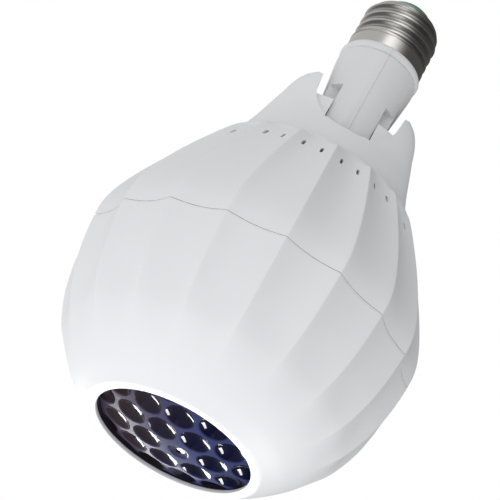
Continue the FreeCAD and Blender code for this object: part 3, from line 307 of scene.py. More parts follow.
def lens_plastic(name, lens):
    """Dark hollows between webs that are painted paler as a painted reflection; painted light makes the lens lighter
    and browner towards the left and bluer towards the right.
    """
    finish = Finish(name, IOR=1.1, Coat_IOR=1.47, Coat_Roughness=0.06)
    x, y, z = finish.separate(finish.place)
    # Painted light: a mask that is 1 towards the left of the lens, where its webs and hollows are painted lighter and
    # browner.
    side = finish.smooth(x * -1.0 + y * 0.25, -0.012, 0.022)
    across, along, up = x - HUB[0] * MM, y - HUB[1] * MM, z - (LENS_FACE * MM + lens.curve)
    depth = lens.curve - finish.root(across * across + along * along + up * up)
    hollow = finish.smooth(depth, 0.04 * MM, 0.42 * MM)
    # Painted reflection: the webs between the hollows get a paler colour, lighter and browner towards the left.
    painted_web_sheen = finish.mix(side, (0.034, 0.042, 0.135, 1), (0.062, 0.050, 0.078, 1))
    finish.feed(finish.shader.inputs["Coat Weight"], 0.05 + 0.95 * hollow)
    # Painted light on the hollows too: dark navy towards the right, lighter and browner towards the left.
    return finish.surface(
        finish.mix(hollow, painted_web_sheen, finish.mix(side, rgba(lens.deep), rgba(lens.lit_side_hollows))),
        0.45 + 0.1 * finish.noise(180, 2), finish.noise(260, 2), 0.004)


def rolled_metal(name, colour):
    """Sheet with streaks round the axis and worn crests that are smoother, with painted shade that darkens the roots
    of the thread.
    """
    finish = Finish(name, Metallic=1.0, Specular_IOR_Level=0.5)
    x, y, z = finish.separate(finish.place)
    distance = finish.root(x * x + y * y)
    streaks = finish.noise(2600, 3, 0.6, finish.combine(finish.math("ARCTAN2", y, x) * 0.0015, distance, z))
    stains = finish.noise(120, 4, 0.6)
    crest = finish.smooth(distance, 12.3 * MM, 13.1 * MM)
    # Painted shade: the roots of the thread are painted darker than the crests.
    shade = finish.mix(crest, rgba(colour, 0.72), rgba(colour))
    return finish.surface(
        finish.mix(0.25 * stains, shade, rgba(colour, 0.8)),
        0.22 - 0.06 * crest + 0.10 * streaks + 0.08 * stains, streaks, 0.01)


def plain_metal(name, colour, rough, depth=0.008):
    finish = Finish(name, Metallic=1.0)
    stains = finish.noise(160, 3)
    grain = finish.noise(2200, 3, 0.7, finish.stretched(1, 1, 0.2))
    return finish.surface(
        finish.mix(stains, rgba(colour), rgba(colour, 0.86)), rough + 0.12 * stains + 0.08 * grain, grain, depth)


def moulded(name, colour, rough, grain_scale=1800, depth=0.02):
    """Plastic with the fine texture of its mould."""
    finish = Finish(name, IOR=1.5)
    grain = finish.noise(grain_scale, 2)
    cloud = finish.noise(40, 3)
    return finish.surface(
        finish.mix(cloud, rgba(colour), rgba(colour, 0.88)), rough + 0.12 * cloud, grain, depth)


def circuit_board(name):
    finish = Finish(name, IOR=1.52, Coat_Weight=0.3, Coat_Roughness=0.2)
    runs = finish.value("ShaderNodeTexBrick", {"offset": 0.5}, {
        "Vector": finish.place, "Scale": 170.0, "Mortar Size": 0.03, "Brick Width": 1.7, "Row Height": 0.42}, 1)
    weave = finish.noise(900, 2)
    mask = finish.mix(runs, (0.015, 0.11, 0.045, 1), (0.05, 0.24, 0.09, 1))
    return finish.surface(
        finish.mix(0.3 * weave, mask, (0.01, 0.06, 0.03, 1)), 0.32 + 0.1 * weave, runs + 0.1 * weave, 0.03)


def phosphor(name):
    finish = Finish(name, IOR=1.5)
    cells = finish.noise(3500, 2)
    return finish.surface(
        finish.mix(cells, (0.85, 0.62, 0.10, 1), (0.95, 0.80, 0.28, 1)), 0.45 + 0.2 * cells, cells, 0.03)


def clear_plastic(name):
    finish = Finish(name, Transmission_Weight=1.0, IOR=1.49)
    return finish.surface((0.97, 0.98, 0.985, 1), 0.02 + 0.04 * finish.noise(200, 2), finish.noise(300, 2), 0.002)


def sleeve(name):
    """Shrunk sleeve with a pale stripe down one side."""
    finish = Finish(name, IOR=1.5, Coat_Weight=0.4, Coat_Roughness=0.1)
    stripe = finish.math("LESS_THAN", finish.separate(finish.place)[0], -18.6 * MM)
    wrinkle = finish.noise(300, 2, 0.5, finish.stretched(1, 1, 0.15))
    return finish.surface(
        finish.mix(stripe, (0.012, 0.016, 0.09, 1), (0.55, 0.56, 0.6, 1)), 0.25 + 0.1 * wrinkle, wrinkle, 0.03)


# Geometry node trees

class Shape(Tree):
    """A geometry node tree with named inputs, of which the last is its material."""

    def __init__(self, name, inputs):
        super().__init__(bpy.data.node_groups.new(name, "GeometryNodeTree"))
        sockets = self.tree.interface
        sockets.new_socket("Geometry", in_out="INPUT", socket_type="NodeSocketGeometry")
        sockets.new_socket("Geometry", in_out="OUTPUT", socket_type="NodeSocketGeometry")
        self.identifiers = {}
        for label, kind, default in (*inputs, ("Material", "Material", None)):
            socket = sockets.new_socket(label, in_out="INPUT", socket_type="NodeSocket" + kind)
            if default is not None:
                socket.default_value = default
            self.identifiers[label] = socket.identifier
        self.given = self.tree.nodes.new("NodeGroupInput")

    def input(self, label):
        return Value(self, self.given.outputs[label])

    def finish(self, geometry):
        """Ends the tree in plain geometry with its material."""
        plain = self.add("GeometryNodeRealizeInstances", None, {"Geometry": geometry}).outputs[0]
        coated = self.add("GeometryNodeSetMaterial", None, {"Geometry": plain, "Material": self.input("Material")})
        self.add("NodeGroupOutput", None, {0: coated.outputs[0]})

    def sample(self, row, value, kind="FLOAT"):
        """What the outline holds at a row."""
        return self.value("GeometryNodeSampleIndex", {"data_type": kind, "domain": "POINT"},
                          {"Geometry": self.given.outputs["Geometry"], "Value": value, "Index": row})

    def named(self, name):
        return self.value("GeometryNodeInputNamedAttribute", {"data_type": "FLOAT"}, {"Name": name})

    def position(self):
        return self.add("GeometryNodeInputPosition").outputs[0]

    def compare(self, operation, first, second):
        return self.value("FunctionNodeCompare", {"operation": operation, "data_type": "FLOAT"}, {0: first, 1: second})

    def moved(self, geometry, place):
        return self.add("GeometryNodeSetPosition", None, {"Geometry": geometry, "Position": place}).outputs[0]

    def merged(self, geometry, distance):
        return self.add("GeometryNodeMergeByDistance", None, {"Geometry": geometry, "Distance": distance}).outputs[0]

    def copies(self, label, points, rotation):
        """The object of an input, on each point."""
        piece = self.add("GeometryNodeObjectInfo", None, {"Object": self.input(label)}).outputs["Geometry"]
        return self.add("GeometryNodeInstanceOnPoints", None, {
            "Points": points, "Instance": piece, "Rotation": rotation}).outputs[0]

    def carved(self, tools):
        """The geometry that comes in, less the tools."""
        return self.add("GeometryNodeMeshBoolean", {"operation": "DIFFERENCE", "solver": "MANIFOLD"}, {
            "Mesh 1": self.given.outputs["Geometry"], "Mesh 2": tools}).outputs[0]

    def skin(self, columns):
        """Grid with a row for each point of the outline: its geometry, row and part of a turn."""
        count = self.value("GeometryNodeAttributeDomainSize", {"component": "MESH"},
                           {"Geometry": self.given.outputs["Geometry"]})
        grid = self.add("GeometryNodeMeshGrid", None, {
            "Size X": 1.0, "Size Y": 1.0, "Vertices X": columns + 1, "Vertices Y": count})
        x, y, _ = self.separate(self.position())
        row = self.math("ROUND", (y + 0.5) * (count - 1))
        return grid.outputs["Mesh"], row, x + 0.5


def fluted_shape():
    """Closed shell round the Z axis, with flutes between its ridges."""
    shape = Shape("Fluted Shell", (
        ("Flutes", "Int", 18), ("Columns per Flute", "Int", 16), ("Ridge Softness", "Float", 0.05)))
    flutes = shape.input("Flutes")
    mesh, row, turn = shape.skin(flutes * shape.input("Columns per Flute"))
    part = shape.math("FRACT", turn * flutes + 1e-5)
    start = turn * flutes - part
    gathered = part - GATHER / math.tau * shape.math("SINE", part * math.tau)
    angle = (start + gathered) / flutes * math.tau
    radius, _, height = shape.separate(shape.sample(row, shape.position(), "FLOAT_VECTOR"))
    hollow = shape.sample(row, shape.named("hollow"))
    squeeze = shape.sample(row, shape.named("squeeze"))
    bow = 4.0 * gathered * (1.0 - gathered)
    soft = shape.input("Ridge Softness")
    top = shape.root(1.0 + soft * soft) - soft
    inward = hollow * (shape.root(bow * bow + soft * soft) - soft) / top
    x = (radius - inward) * shape.math("SINE", angle)
    y = (radius * squeeze - inward) * shape.math("COSINE", angle) * -1.0
    shape.finish(shape.merged(shape.moved(mesh, shape.combine(x, y, height)), WELD * MM))
    return shape


def vented_shape():
    """Ring of slots cut through a shell, two in each flute."""
    shape = Shape("Vent Slots", (
        ("Slot", "Object", None), ("Flutes", "Int", 18), ("Spread", "Float", 0.08), ("Radius", "Float", 0.038),
        ("Height", "Float", 0.09)))
    flutes = shape.input("Flutes")
    points = shape.add("GeometryNodeMeshLine", None, {"Count": flutes * 2}).outputs[0]
    index = shape.value("GeometryNodeInputIndex")
    flute = shape.math("FLOOR", index / 2 + 0.01)
    side = (index - flute * 2) * 2 - 1
    angle = (flute + 0.5) * math.tau / flutes + side * shape.input("Spread")
    radius = shape.input("Radius")
    spot = shape.combine(radius * shape.math("SINE", angle), radius * shape.math("COSINE", angle) * -1.0,
                         shape.input("Height"))
    slots = shape.copies("Slot", shape.moved(points, spot), shape.combine(0.0, 0.0, angle))
    shape.finish(shape.carved(slots))
    return shape


def dimpled_shape():
    """Hexagonal field of round hollows in a dome."""
    shape = Shape("Fly-Eye Field", (
        ("Hollow", "Object", None), ("Rows", "Int", 9), ("Pitch", "Float", 0.0109), ("Turn", "Float", 0.0),
        ("Dome", "Float", 0.095), ("Reach", "Float", 0.0294), ("Centre", "Vector", (0, 0, 0))))
    rows = shape.input("Rows")
    pitch = shape.input("Pitch")
    lattice = shape.add("GeometryNodeMeshGrid", None, {
        "Size X": rows - 1, "Size Y": rows - 1, "Vertices X": rows, "Vertices Y": rows}).outputs["Mesh"]
    column, row, _ = shape.separate(shape.position())
    x = (column + row * 0.5) * pitch
    y = row * pitch * (math.sqrt(3) / 2)
    reach = shape.root(x * x + y * y)
    cosine = shape.math("COSINE", shape.input("Turn"))
    sine = shape.math("SINE", shape.input("Turn"))
    dome = shape.input("Dome")
    drop = shape.root(dome * dome - reach * reach)
    spot = shape.combine(x * cosine - y * sine, x * sine + y * cosine, drop * -1.0)
    near = shape.compare("LESS_THAN", reach, pitch / 2)
    far = shape.compare("GREATER_THAN", reach, shape.input("Reach"))
    dropped = shape.value("FunctionNodeBooleanMath", {"operation": "OR"}, {0: near, 1: far})
    kept = shape.add("GeometryNodeDeleteGeometry", {"domain": "POINT"}, {"Geometry": lattice, "Selection": dropped})
    outward = shape.add("ShaderNodeVectorMath", {"operation": "NORMALIZE"}, {0: shape.position()}).outputs[0]
    lean = shape.add("FunctionNodeAlignRotationToVector", {"axis": "Z"}, {"Vector": outward}).outputs[0]
    tools = shape.copies("Hollow", shape.moved(kept.outputs[0], spot), lean)
    placed = shape.add("GeometryNodeTransform", None, {"Geometry": tools, "Translation": shape.input("Centre")})
    shape.finish(shape.carved(placed.outputs[0]))
    return shape


def threaded_shape():
    """Rolled sheet round the Z axis, with a screw thread."""
    shape = Shape("Rolled Thread", (
        ("Columns", "Int", 128), ("Pitch", "Float", 0.0036), ("Depth", "Float", 0.00095), ("Start", "Float", 0.155)))
    mesh, row, turn = shape.skin(shape.input("Columns"))
    radius, _, height = shape.separate(shape.sample(row, shape.position(), "FLOAT_VECTOR"))
    thread = shape.sample(row, shape.named("thread"))
    angle = turn * math.tau
    phase = (height - shape.input("Start")) / shape.input("Pitch") * math.tau - angle
    crest = shape.math("COSINE", phase) * 0.5 + 0.5
    out = radius + thread * shape.input("Depth") * crest
    spot = shape.combine(out * shape.math("COSINE", angle), out * shape.math("SINE", angle), height)
    shape.finish(shape.merged(shape.moved(mesh, spot), WELD * MM))
    return shape


def soft_shape():
    """Smooth shading that stops at sharp edges."""
    shape = Shape("Soft Shading", ())
    geometry = shape.merged(shape.given.outputs["Geometry"], 0.0005 * MM)
    gentle = shape.compare("LESS_THAN", shape.value("GeometryNodeInputMeshEdgeAngle"), 0.6)
    for domain, smooth in (("FACE", True), ("EDGE", gentle)):
        geometry = shape.add("GeometryNodeSetShadeSmooth", {"domain": domain}, {
            "Geometry": geometry, "Shade Smooth": smooth}).outputs[0]
    shape.finish(geometry)
    return shape


# Mesh helpers

def link(obj):
    bpy.context.scene.collection.objects.link(obj)
    return obj


def mesh_object(name, points, faces=(), edges=()):
    """Object from points in millimetres."""
    mesh = bpy.data.meshes.new(name)
    mesh.from_pydata([tuple(c * MM for c in point) for point in points], edges, faces)
    mesh.validate()
    return link(bpy.data.objects.new(name, mesh))


def outline_object(name, rows, columns):
    """Closed chain of points for a skin: radius, height and the named columns, each with its scale."""
    rows = rows + rows[:1]
    obj = mesh_object(name, [(row[0], 0, row[1]) for row in rows], edges=[(i, i + 1) for i in range(len(rows) - 1)])
    for index, (label, scale) in enumerate(columns, 2):
        layer = obj.data.attributes.new(label, "FLOAT", "POINT")
        layer.data.foreach_set("value", [row[index] * scale for row in rows])
    return obj


def prism(name, corners, low, high, axis=0):
    """Solid with the same outline at low and high along an axis; corners run over the other two axes."""
    count = len(corners)
    points = [(*corner[:axis], level, *corner[axis:]) for level in (low, high) for corner in corners]
    faces = [tuple(range(count))[::-1], tuple(range(count, 2 * count))]
    faces += [(i, (i + 1) % count, (i + 1) % count + count, i + count) for i in range(count)]
    obj = mesh_object(name, points, faces)
    outward(obj)
    return obj


def outward(obj, merge=False):
    """Turns all faces of a closed mesh outwards, once double points are merged."""
    work = bmesh.new()
    work.from_mesh(obj.data)
    if merge:
        bmesh.ops.remove_doubles(work, verts=work.verts, dist=0.001 * MM)
    bmesh.ops.recalc_face_normals(work, faces=work.faces)
    work.to_mesh(obj.data)
    work.free()


def arc(centre, radius, start, end, steps):
    """Points on an arc in degrees."""
    return [
        (centre[0] + radius * math.cos(math.radians(start + (end - start) * i / steps)),
         centre[1] + radius * math.sin(math.radians(start + (end - start) * i / steps)))
        for i in range(steps + 1)
    ]


def circle(centre, radius, steps):
    return arc(centre, radius, 0, 360, steps)[:-1]


def lathe(name, profile, steps, centre=(0.0, 0.0)):
    """Closed solid turned about a vertical line; the profile is a closed loop of (radius, height) in millimetres."""
    points, faces, rings = [], [], []
    for radius, height in profile:
        if radius < 1e-6:
            rings.append([len(points)] * steps)
            points.append((*centre, height))
            continue
        rings.append(list(range(len(points), len(points) + steps)))
        for step in range(steps):
            angle = math.tau * step / steps
            points.append((centre[0] + radius * math.cos(angle), centre[1] + radius * math.sin(angle), height))
    for index, ring in enumerate(rings):
        following = rings[(index + 1) % len(rings)]
        for step in range(steps):
            after = (step + 1) % steps
            corners = dict.fromkeys((ring[step], ring[after], following[after], following[step]))
            if len(corners) > 2:
                faces.append(tuple(corners))
    obj = mesh_object(name, points, faces)
    outward(obj)
    return obj


def add_shape(obj, shape, **values):
    """Adds a geometry node tree to an object and sets its inputs."""
    modifier = obj.modifiers.new(shape.tree.name, "NODES")
    modifier.node_group = shape.tree
    for label, value in values.items():
        modifier[shape.identifiers[label.replace("_", " ")]] = value


def carve(obj, tool, operation="DIFFERENCE"):
    modifier = obj.modifiers.new(tool.name, "BOOLEAN")
    modifier.operation = operation
    modifier.solver = "MANIFOLD"
    modifier.object = tool


def settled(source, name, material, tools=()):
    """Plain mesh with soft shading in place of a source with live modifiers; the cutting tools go."""
    add_shape(source, shapes["soft"], Material=material)
    depsgraph = bpy.context.evaluated_depsgraph_get()
    mesh = bpy.data.meshes.new_from_object(source.evaluated_get(depsgraph), preserve_all_data_layers=False,
                                           depsgraph=depsgraph)
    mesh.name = name
    for spare in (source, *tools):
        bpy.data.objects.remove(spare)
    for layer in [a.name for a in mesh.attributes if a.name in ("hollow", "squeeze", "thread")]:
        mesh.attributes.remove(mesh.attributes[layer])
    if not mesh.polygons:
        raise RuntimeError("%s came out empty" % name)
    return link(bpy.data.objects.new(name, mesh))


# Outline of the real housing

def smooth_curve(points):
    """Smooth function through (height, value) points."""
    slopes = []
    for index in range(len(points)):
        before = points[max(index - 1, 0)]
        after = points[min(index + 1, len(points) - 1)]
        slopes.append((after[1] - before[1]) / (after[0] - before[0]))

    def value(height):
        index = 0
        while index < len(points) - 2 and height > points[index + 1][0]:
            index += 1
        (low, start), (high, end) = points[index], points[index + 1]
        part = (height - low) / (high - low)
        rise = part * part * (3 - 2 * part)
        bend = part * (1 - part) ** 2 * slopes[index] + part * part * (part - 1) * slopes[index + 1]
        return start + rise * (end - start) + (high - low) * bend

    return value


def smooth_step(value, low, high):
    part = min(max((value - low) / (high - low), 0.0), 1.0)
    return part * part * (3 - 2 * part)


ridge_radius = smooth_curve(RIDGES)
front_depth = smooth_curve((
    (90.0, 38.2), (FLARE, ridge_radius(FLARE)), (104.5, 21.8), (SLOT_FLOOR, 15.3), (HORN_CENTRE, HORN_DEPTH),
    (HORN_TOP, HORN_DEPTH)))


def flute_at(height):
    """Depth of the flutes in millimetres: none at the window and on the crown."""
    depth = bpy.context.scene.bulb.housing.flute_depth / MM
    return depth * min(smooth_step(height, *FLUTES_START), 1 - smooth_step(height, FLUTES_FADE, FLARE + 0.5))


def squeeze_at(height):
    """Depth over width. The crown's face starts at the floor of the flutes."""
    depth = front_depth(height) if height > FLARE else ridge_radius(height)
    dip = 2.2 * smooth_step(height, FLUTES_FADE, FLARE + 0.5) * (1 - smooth_step(height, FLARE + 1, 112))
    return (depth - dip) / ridge_radius(height)


def inset_at(height, wall):
    """Horizontal thickness of a wall that is wall thick across its slope."""
    slope = ridge_radius(height + 0.5) - ridge_radius(max(height - 0.5, 0.0))
    return wall * math.sqrt(1 + slope * slope)


def outline_row(height, wall=0.0, squeeze=1.0):
    """Radius, height, hollow of the flutes and squeeze, outside or behind the wall."""
    return ridge_radius(height) - inset_at(height, wall), height, flute_at(height), squeeze


def steps(low, high, pace):
    count = max(2, round(abs(high - low) / pace))
    return [low + (high - low) * i / count for i in range(count + 1)]


def softened(rows, radius=0.3):
    """Outline with each corner of the loop cut back twice, so that light catches its edges."""
    result = []
    for index, row in enumerate(rows):
        before, after = rows[index - 1], rows[(index + 1) % len(rows)]
        (x1, y1), (x2, y2) = [[end[k] - start[k] for k in (0, 1)] for start, end in ((before, row), (row, after))]
        if abs(math.atan2(x1 * y2 - y1 * x2, x1 * x2 + y1 * y2)) < 0.5:
            result.append(row)
            continue
        ends = []
        for other in (before, after):
            length = math.hypot(other[0] - row[0], other[1] - row[1])
            part = min(radius, length * 0.4) / max(length, 1e-9)
            ends.append(tuple(a + (b - a) * part for a, b in zip(row, other)))
        middle = tuple(0.5 * a + 0.25 * (b + c) for a, b, c in zip(row, *ends))
        result += [ends[0], middle, ends[1]]
    return result


def fluted_object(name, rows, housing):
    """Loop of rows as a fluted shell of white plastic."""
    shell = outline_object(name, rows, (("hollow", MM), ("squeeze", 1.0)))
    add_shape(shell, shapes["fluted"], Flutes=housing.flutes, Columns_per_Flute=16,
              Ridge_Softness=housing.ridge_softness, Material=finishes["white"])
    return shell


# Operators

class BULB_OT_front_shell(bpy.types.Operator):
    """Build the fluted front shell with its window"""
    bl_idname = "bulb.front_shell"
    bl_label = "Front Shell"

    def execute(self, context):
        housing = context.scene.bulb.housing
        wall = housing.wall / MM
        window = housing.window_radius / MM
        rows = [outline_row(h) for h in steps(0, 5, 0.6)[:-1] + steps(5, PARTING, 1.1)]
        rows += [outline_row(h, wall) for h in steps(PARTING, WINDOW_BACK, 3)]
        rows += [(window, WINDOW_BACK, 0, 1.0), (window, 0, 0, 1.0)]
        shell = fluted_object("front_outline", softened(rows, 0.25), housing)
        shell = settled(shell, "front_cover", finishes["white"])
        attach(shell, "housing")
        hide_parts("front_shell")
        return {"FINISHED"}


class BULB_OT_rear_shell(bpy.types.Operator):
    """Build the fluted rear shell with its vents and crown"""
    bl_idname = "bulb.rear_shell"
    bl_label = "Rear Shell"

    def execute(self, context):
        housing = context.scene.bulb.housing
        wall = housing.wall / MM
        low = PARTING + SEAM
        heights = steps(low, 92, 1.2)[:-1] + steps(92, 100, 0.4)[:-1] + steps(100, HORN_TOP, 0.8)
        rows = [outline_row(h, 0, squeeze_at(h)) for h in heights]
        rows += [(0, HORN_TOP, 0, 1.0), (0, ROOM_TOP, 0, 1.0)]
        rows += [outline_row(h, wall, squeeze_at(h)) for h in steps(ROOM_TOP, low, 2.0)]
        shell = fluted_object("rear_outline", rows, housing)
        half_width, half_length = housing.vent_width / MM / 2, housing.vent_length / MM / 2
        round_ends = arc((0, half_length - half_width), half_width, 0, 180, 8)
        round_ends += arc((0, half_width - half_length), half_width, 180, 360, 8)
        slot = prism("slot_tool", round_ends, -9, 9, axis=1)
        add_shape(shell, shapes["vented"], Slot=slot, Flutes=housing.flutes, Spread=housing.vent_spread,
                  Radius=38.2 * MM, Height=VENTS * MM, Material=finishes["white"])
        tools = self.crown_tools()
        for tool in tools:
            carve(shell, tool)
        bosses = [prism("boss_%d" % (side + 1), circle((0, PIVOT), BOSS_RADIUS, 48),
                        *sorted((side * CHEEK_HALF, side * BOSS_OUT))) for side in (-1, 1)]
        for boss in bosses:
            carve(shell, boss, "UNION")
        shell = settled(shell, "rear_cover", finishes["white"], [slot, *tools, *bosses])
        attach(shell, "housing")
        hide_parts("rear_shell")
        return {"FINISHED"}

    def crown_tools(self):
        """Solids that leave the notch, the slot and the round tops of the horns."""
        over = [(-FAR, HORN_CENTRE)] + arc((0, HORN_CENTRE), HORN_DEPTH, 180, 0, 64) + [
            (FAR, HORN_CENTRE), (FAR, SKY), (-FAR, SKY)]
        cheek = CHEEK_RADIUS / math.cos(math.radians(TILT)) + 0.3
        notch_floor = PIVOT - 0.2
        flare = 1.2 / (HORN_TOP - notch_floor)
        top = NOTCH_HALF + flare * (SKY - notch_floor)
        notch = [(-NOTCH_HALF, notch_floor), (NOTCH_HALF, notch_floor), (top, SKY), (-top, SKY)]
        slot = [(-FAR, SLOT_FLOOR), (FAR, SLOT_FLOOR), (FAR, SKY), (-FAR, SKY)]
        return [
            prism("horn_tops", over, -FAR, FAR),
            prism("notch", notch, -FAR, FAR, axis=1),
            prism("slot", slot, -SLOT_HALF, SLOT_HALF),
            prism("swing", circle((0, PIVOT), SWING, 96), -SLOT_HALF, SLOT_HALF),
            prism("cheek_swing", circle((0, PIVOT), cheek, 72), -CHEEK_HALF, CHEEK_HALF),
            prism("wire_hole", circle((0, 0), WIRE_HOLE, 48), ROOM_TOP - 1, PIVOT, axis=2),
            self.scoop(-1),
            self.scoop(1),
        ]

    def scoop(self, side):
        """Round patch just under the face of the crown, thickened outwards."""
        rings, around = 10, 72
        inner = []
        for ring in range(rings + 1):
            for step in range(around):
                turn = math.tau * step / around
                x = SCOOP_RADIUS * ring / rings * math.cos(turn)
                z = SCOOP_CENTRE + SCOOP_RADIUS * ring / rings * math.sin(turn)
                level = min(max(z, 100), HORN_TOP)
                width = max(ridge_radius(level) - SCOOP_DEPTH, abs(x) + 0.1)
                y = (front_depth(level) - SCOOP_DEPTH) * math.sqrt(1 - (x / width) ** 2)
                inner.append((x, side * y, z))
        outer = [(x, side * 40, z) for x, _, z in inner]
        points = inner + outer
        faces = []
        shift = len(inner)
        for ring in range(rings):
            for step in range(around):
                after = (step + 1) % around
                a, b = ring * around + step, ring * around + after
                c, d = a + around, b + around
                faces += [(a, b, d, c), (a + shift, c + shift, d + shift, b + shift)]
        edge = rings * around
        for step in range(around):
            a, b = edge + step, edge + (step + 1) % around
            faces.append((a, b, b + shift, a + shift))
        tool = mesh_object("scoop_%d" % (side + 1), points, faces)
        outward(tool, merge=True)
        return tool


class BULB_OT_lens(bpy.types.Operator):
    """Build the fly-eye lens"""
    bl_idname = "bulb.lens"
    bl_label = "Fly-Eye Lens"

    def execute(self, context):
        lens = context.scene.bulb.lens
        radius, curve, thickness = lens.radius / MM, lens.curve / MM, lens.thickness / MM
        middle = LENS_FACE + curve
        disc, disc_radius, shaft_end, bore, hub, hub_top = LENS_FACE + 0.3, 3.1, 0.8, 1.5, 4.6, 11.5

        def face(r):
            return middle - math.sqrt(curve * curve - r * r)

        def back(r):
            return middle - math.sqrt((curve - thickness) ** 2 - r * r)

        profile = [(bore, 2.2), (shaft_end, 2.0), (shaft_end, disc), (disc_radius, disc)]
        profile += [(r, face(r)) for r in steps(disc_radius + 0.3, radius - 1.2, 0.8)]
        profile += [(radius, face(radius) + 1.2), (radius, back(radius) - 0.3)]
        profile += [(r, back(r)) for r in steps(radius - 0.4, hub, 2.0)]
        profile += [(hub, hub_top), (bore, hub_top)]
        dome = lathe("dome", softened(profile, 0.15), 120, HUB)
        cell, hollow = lens.cell_radius / MM, lens.cell_curve / MM
        reach = math.sqrt(hollow ** 2 - cell ** 2)
        cap = [(0, reach - hollow)]
        for step in range(1, 13):
            angle = math.radians(54) * step / 12
            cap.append((hollow * math.sin(angle), reach - hollow * math.cos(angle)))
        cap.append((0, cap[-1][1]))
        tool = lathe("hollow_tool", cap, 56)
        add_shape(dome, shapes["dimpled"], Hollow=tool, Rows=11, Pitch=lens.cell_pitch, Turn=lens.cell_turn,
                  Dome=lens.curve, Reach=lens.radius, Centre=(HUB[0] * MM, HUB[1] * MM, middle * MM),
                  Material=finishes["lens"])
        dome = settled(dome, "eye_lens", finishes["lens"], [tool])
        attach(dome, "lens")
        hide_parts("fly_eye_lens")
        return {"FINISHED"}


class BULB_OT_cap(bpy.types.Operator):
    """Build the screw cap and its insulator"""
    bl_idname = "bulb.cap"
    bl_label = "Screw Cap"

    def execute(self, context):
        cap = context.scene.bulb.cap
        sheet = cap.sheet / MM
        skirt, root, seat = 13.15, 12.15, CAP_SEAT
        rows = [(skirt, h, 0.0) for h in steps(seat, seat + 3.9, 1.3)]
        rows += [(skirt - 0.05, seat + 4.2, 0.0), (skirt - 0.25, seat + 4.45, 0.0)]
        thread_low, thread_high = seat + 4.4, seat + 17.8
        for height in steps(seat + 4.6, thread_high, 0.17):
            rise = smooth_step(height, thread_low, seat + 5.2)
            fall = 1 - smooth_step(height, seat + 16.6, thread_high)
            base = root + (skirt - 0.3 - root) * (1 - smooth_step(height, thread_low, seat + 5.6))
            rows.append((base, height, rise * fall))
        rows += [(radius, seat + rise, 0.0) for radius, rise in CAP_SHOULDER]
        inner = []
        for radius, height, thread in reversed(rows):
            across, down = (0.6, 0.8) if height > seat + 20 else (1.0, 0.0)
            inner.append((radius - sheet * across, height - sheet * down, thread))
        inner[0] = (rows[-1][0], rows[-1][1] - sheet, 0.0)
        rows = rows + [(8.8, seat + 20.8, 0.0)] + inner[:-1] + [(skirt - sheet, seat, 0.0)]
        obj = outline_object("cap_outline", rows, (("thread", 1.0),))
        add_shape(obj, shapes["threaded"], Columns=128, Pitch=cap.pitch, Depth=cap.depth,
                  Start=(thread_low - 0.907) * MM, Material=finishes["cap"])
        shell = settled(obj, "cap_shell", finishes["cap"])
        outward(shell)
        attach(shell, "neck")
        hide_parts("screw_cap")
        self.insulator(seat)
        return {"FINISHED"}

    def insulator(self, seat):
        """Glassy dome that closes the tip round the contact."""
        dome = lathe("glass_dome", softened([(radius, seat + rise) for radius, rise in GLASS]), 96)
        dome.data.materials.append(finishes["insulator"])
        dome = settled(dome, "tip_insulator", finishes["insulator"])
        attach(dome, "neck")
        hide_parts("cap_insulator")


class BULB_OT_finishes(bpy.types.Operator):
    """Give every construction part its finish"""
    bl_idname = "bulb.finishes"
    bl_label = "Part Finishes"

    def execute(self, context):
        table = {
            "white": "front_shell rear_shell",
            "neck": "neck_left neck_right",
            "seal": "window_seal",
            "black": "optics_holder transformer rectifier",
            "film": "slide_discs",
            "frame": "inner_frame",
            "steel": "hinge_pins hinge_washers frame_screws holder_screws motor_screws sink_screws led_board_screws "
                     "board_screws drive_shaft",
            "motor": "motor_case",
            "aluminium": "heat_sink",
            "board": "driver_board",
            "white_board": "led_board",
            "phosphor": "led_chips",
            "clear": "condenser_lenses",
            "sleeve": "capacitor",
            "red": "film_capacitor",
            "resistor": "fuse_resistor",
            "ivory": "led_connector motor_connector",
            "insulator": "cap_insulator",
            "contact": "centre_contact",
            "cap": "screw_cap",
            "lens": "fly_eye_lens",
        }
        for finish, names in table.items():
            for name in names.split():
                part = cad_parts[name]
                part.data.materials.clear()
                part.data.materials.append(finishes[finish])
                add_shape(part, shapes["soft"], Material=finishes[finish])
        return {"FINISHED"}


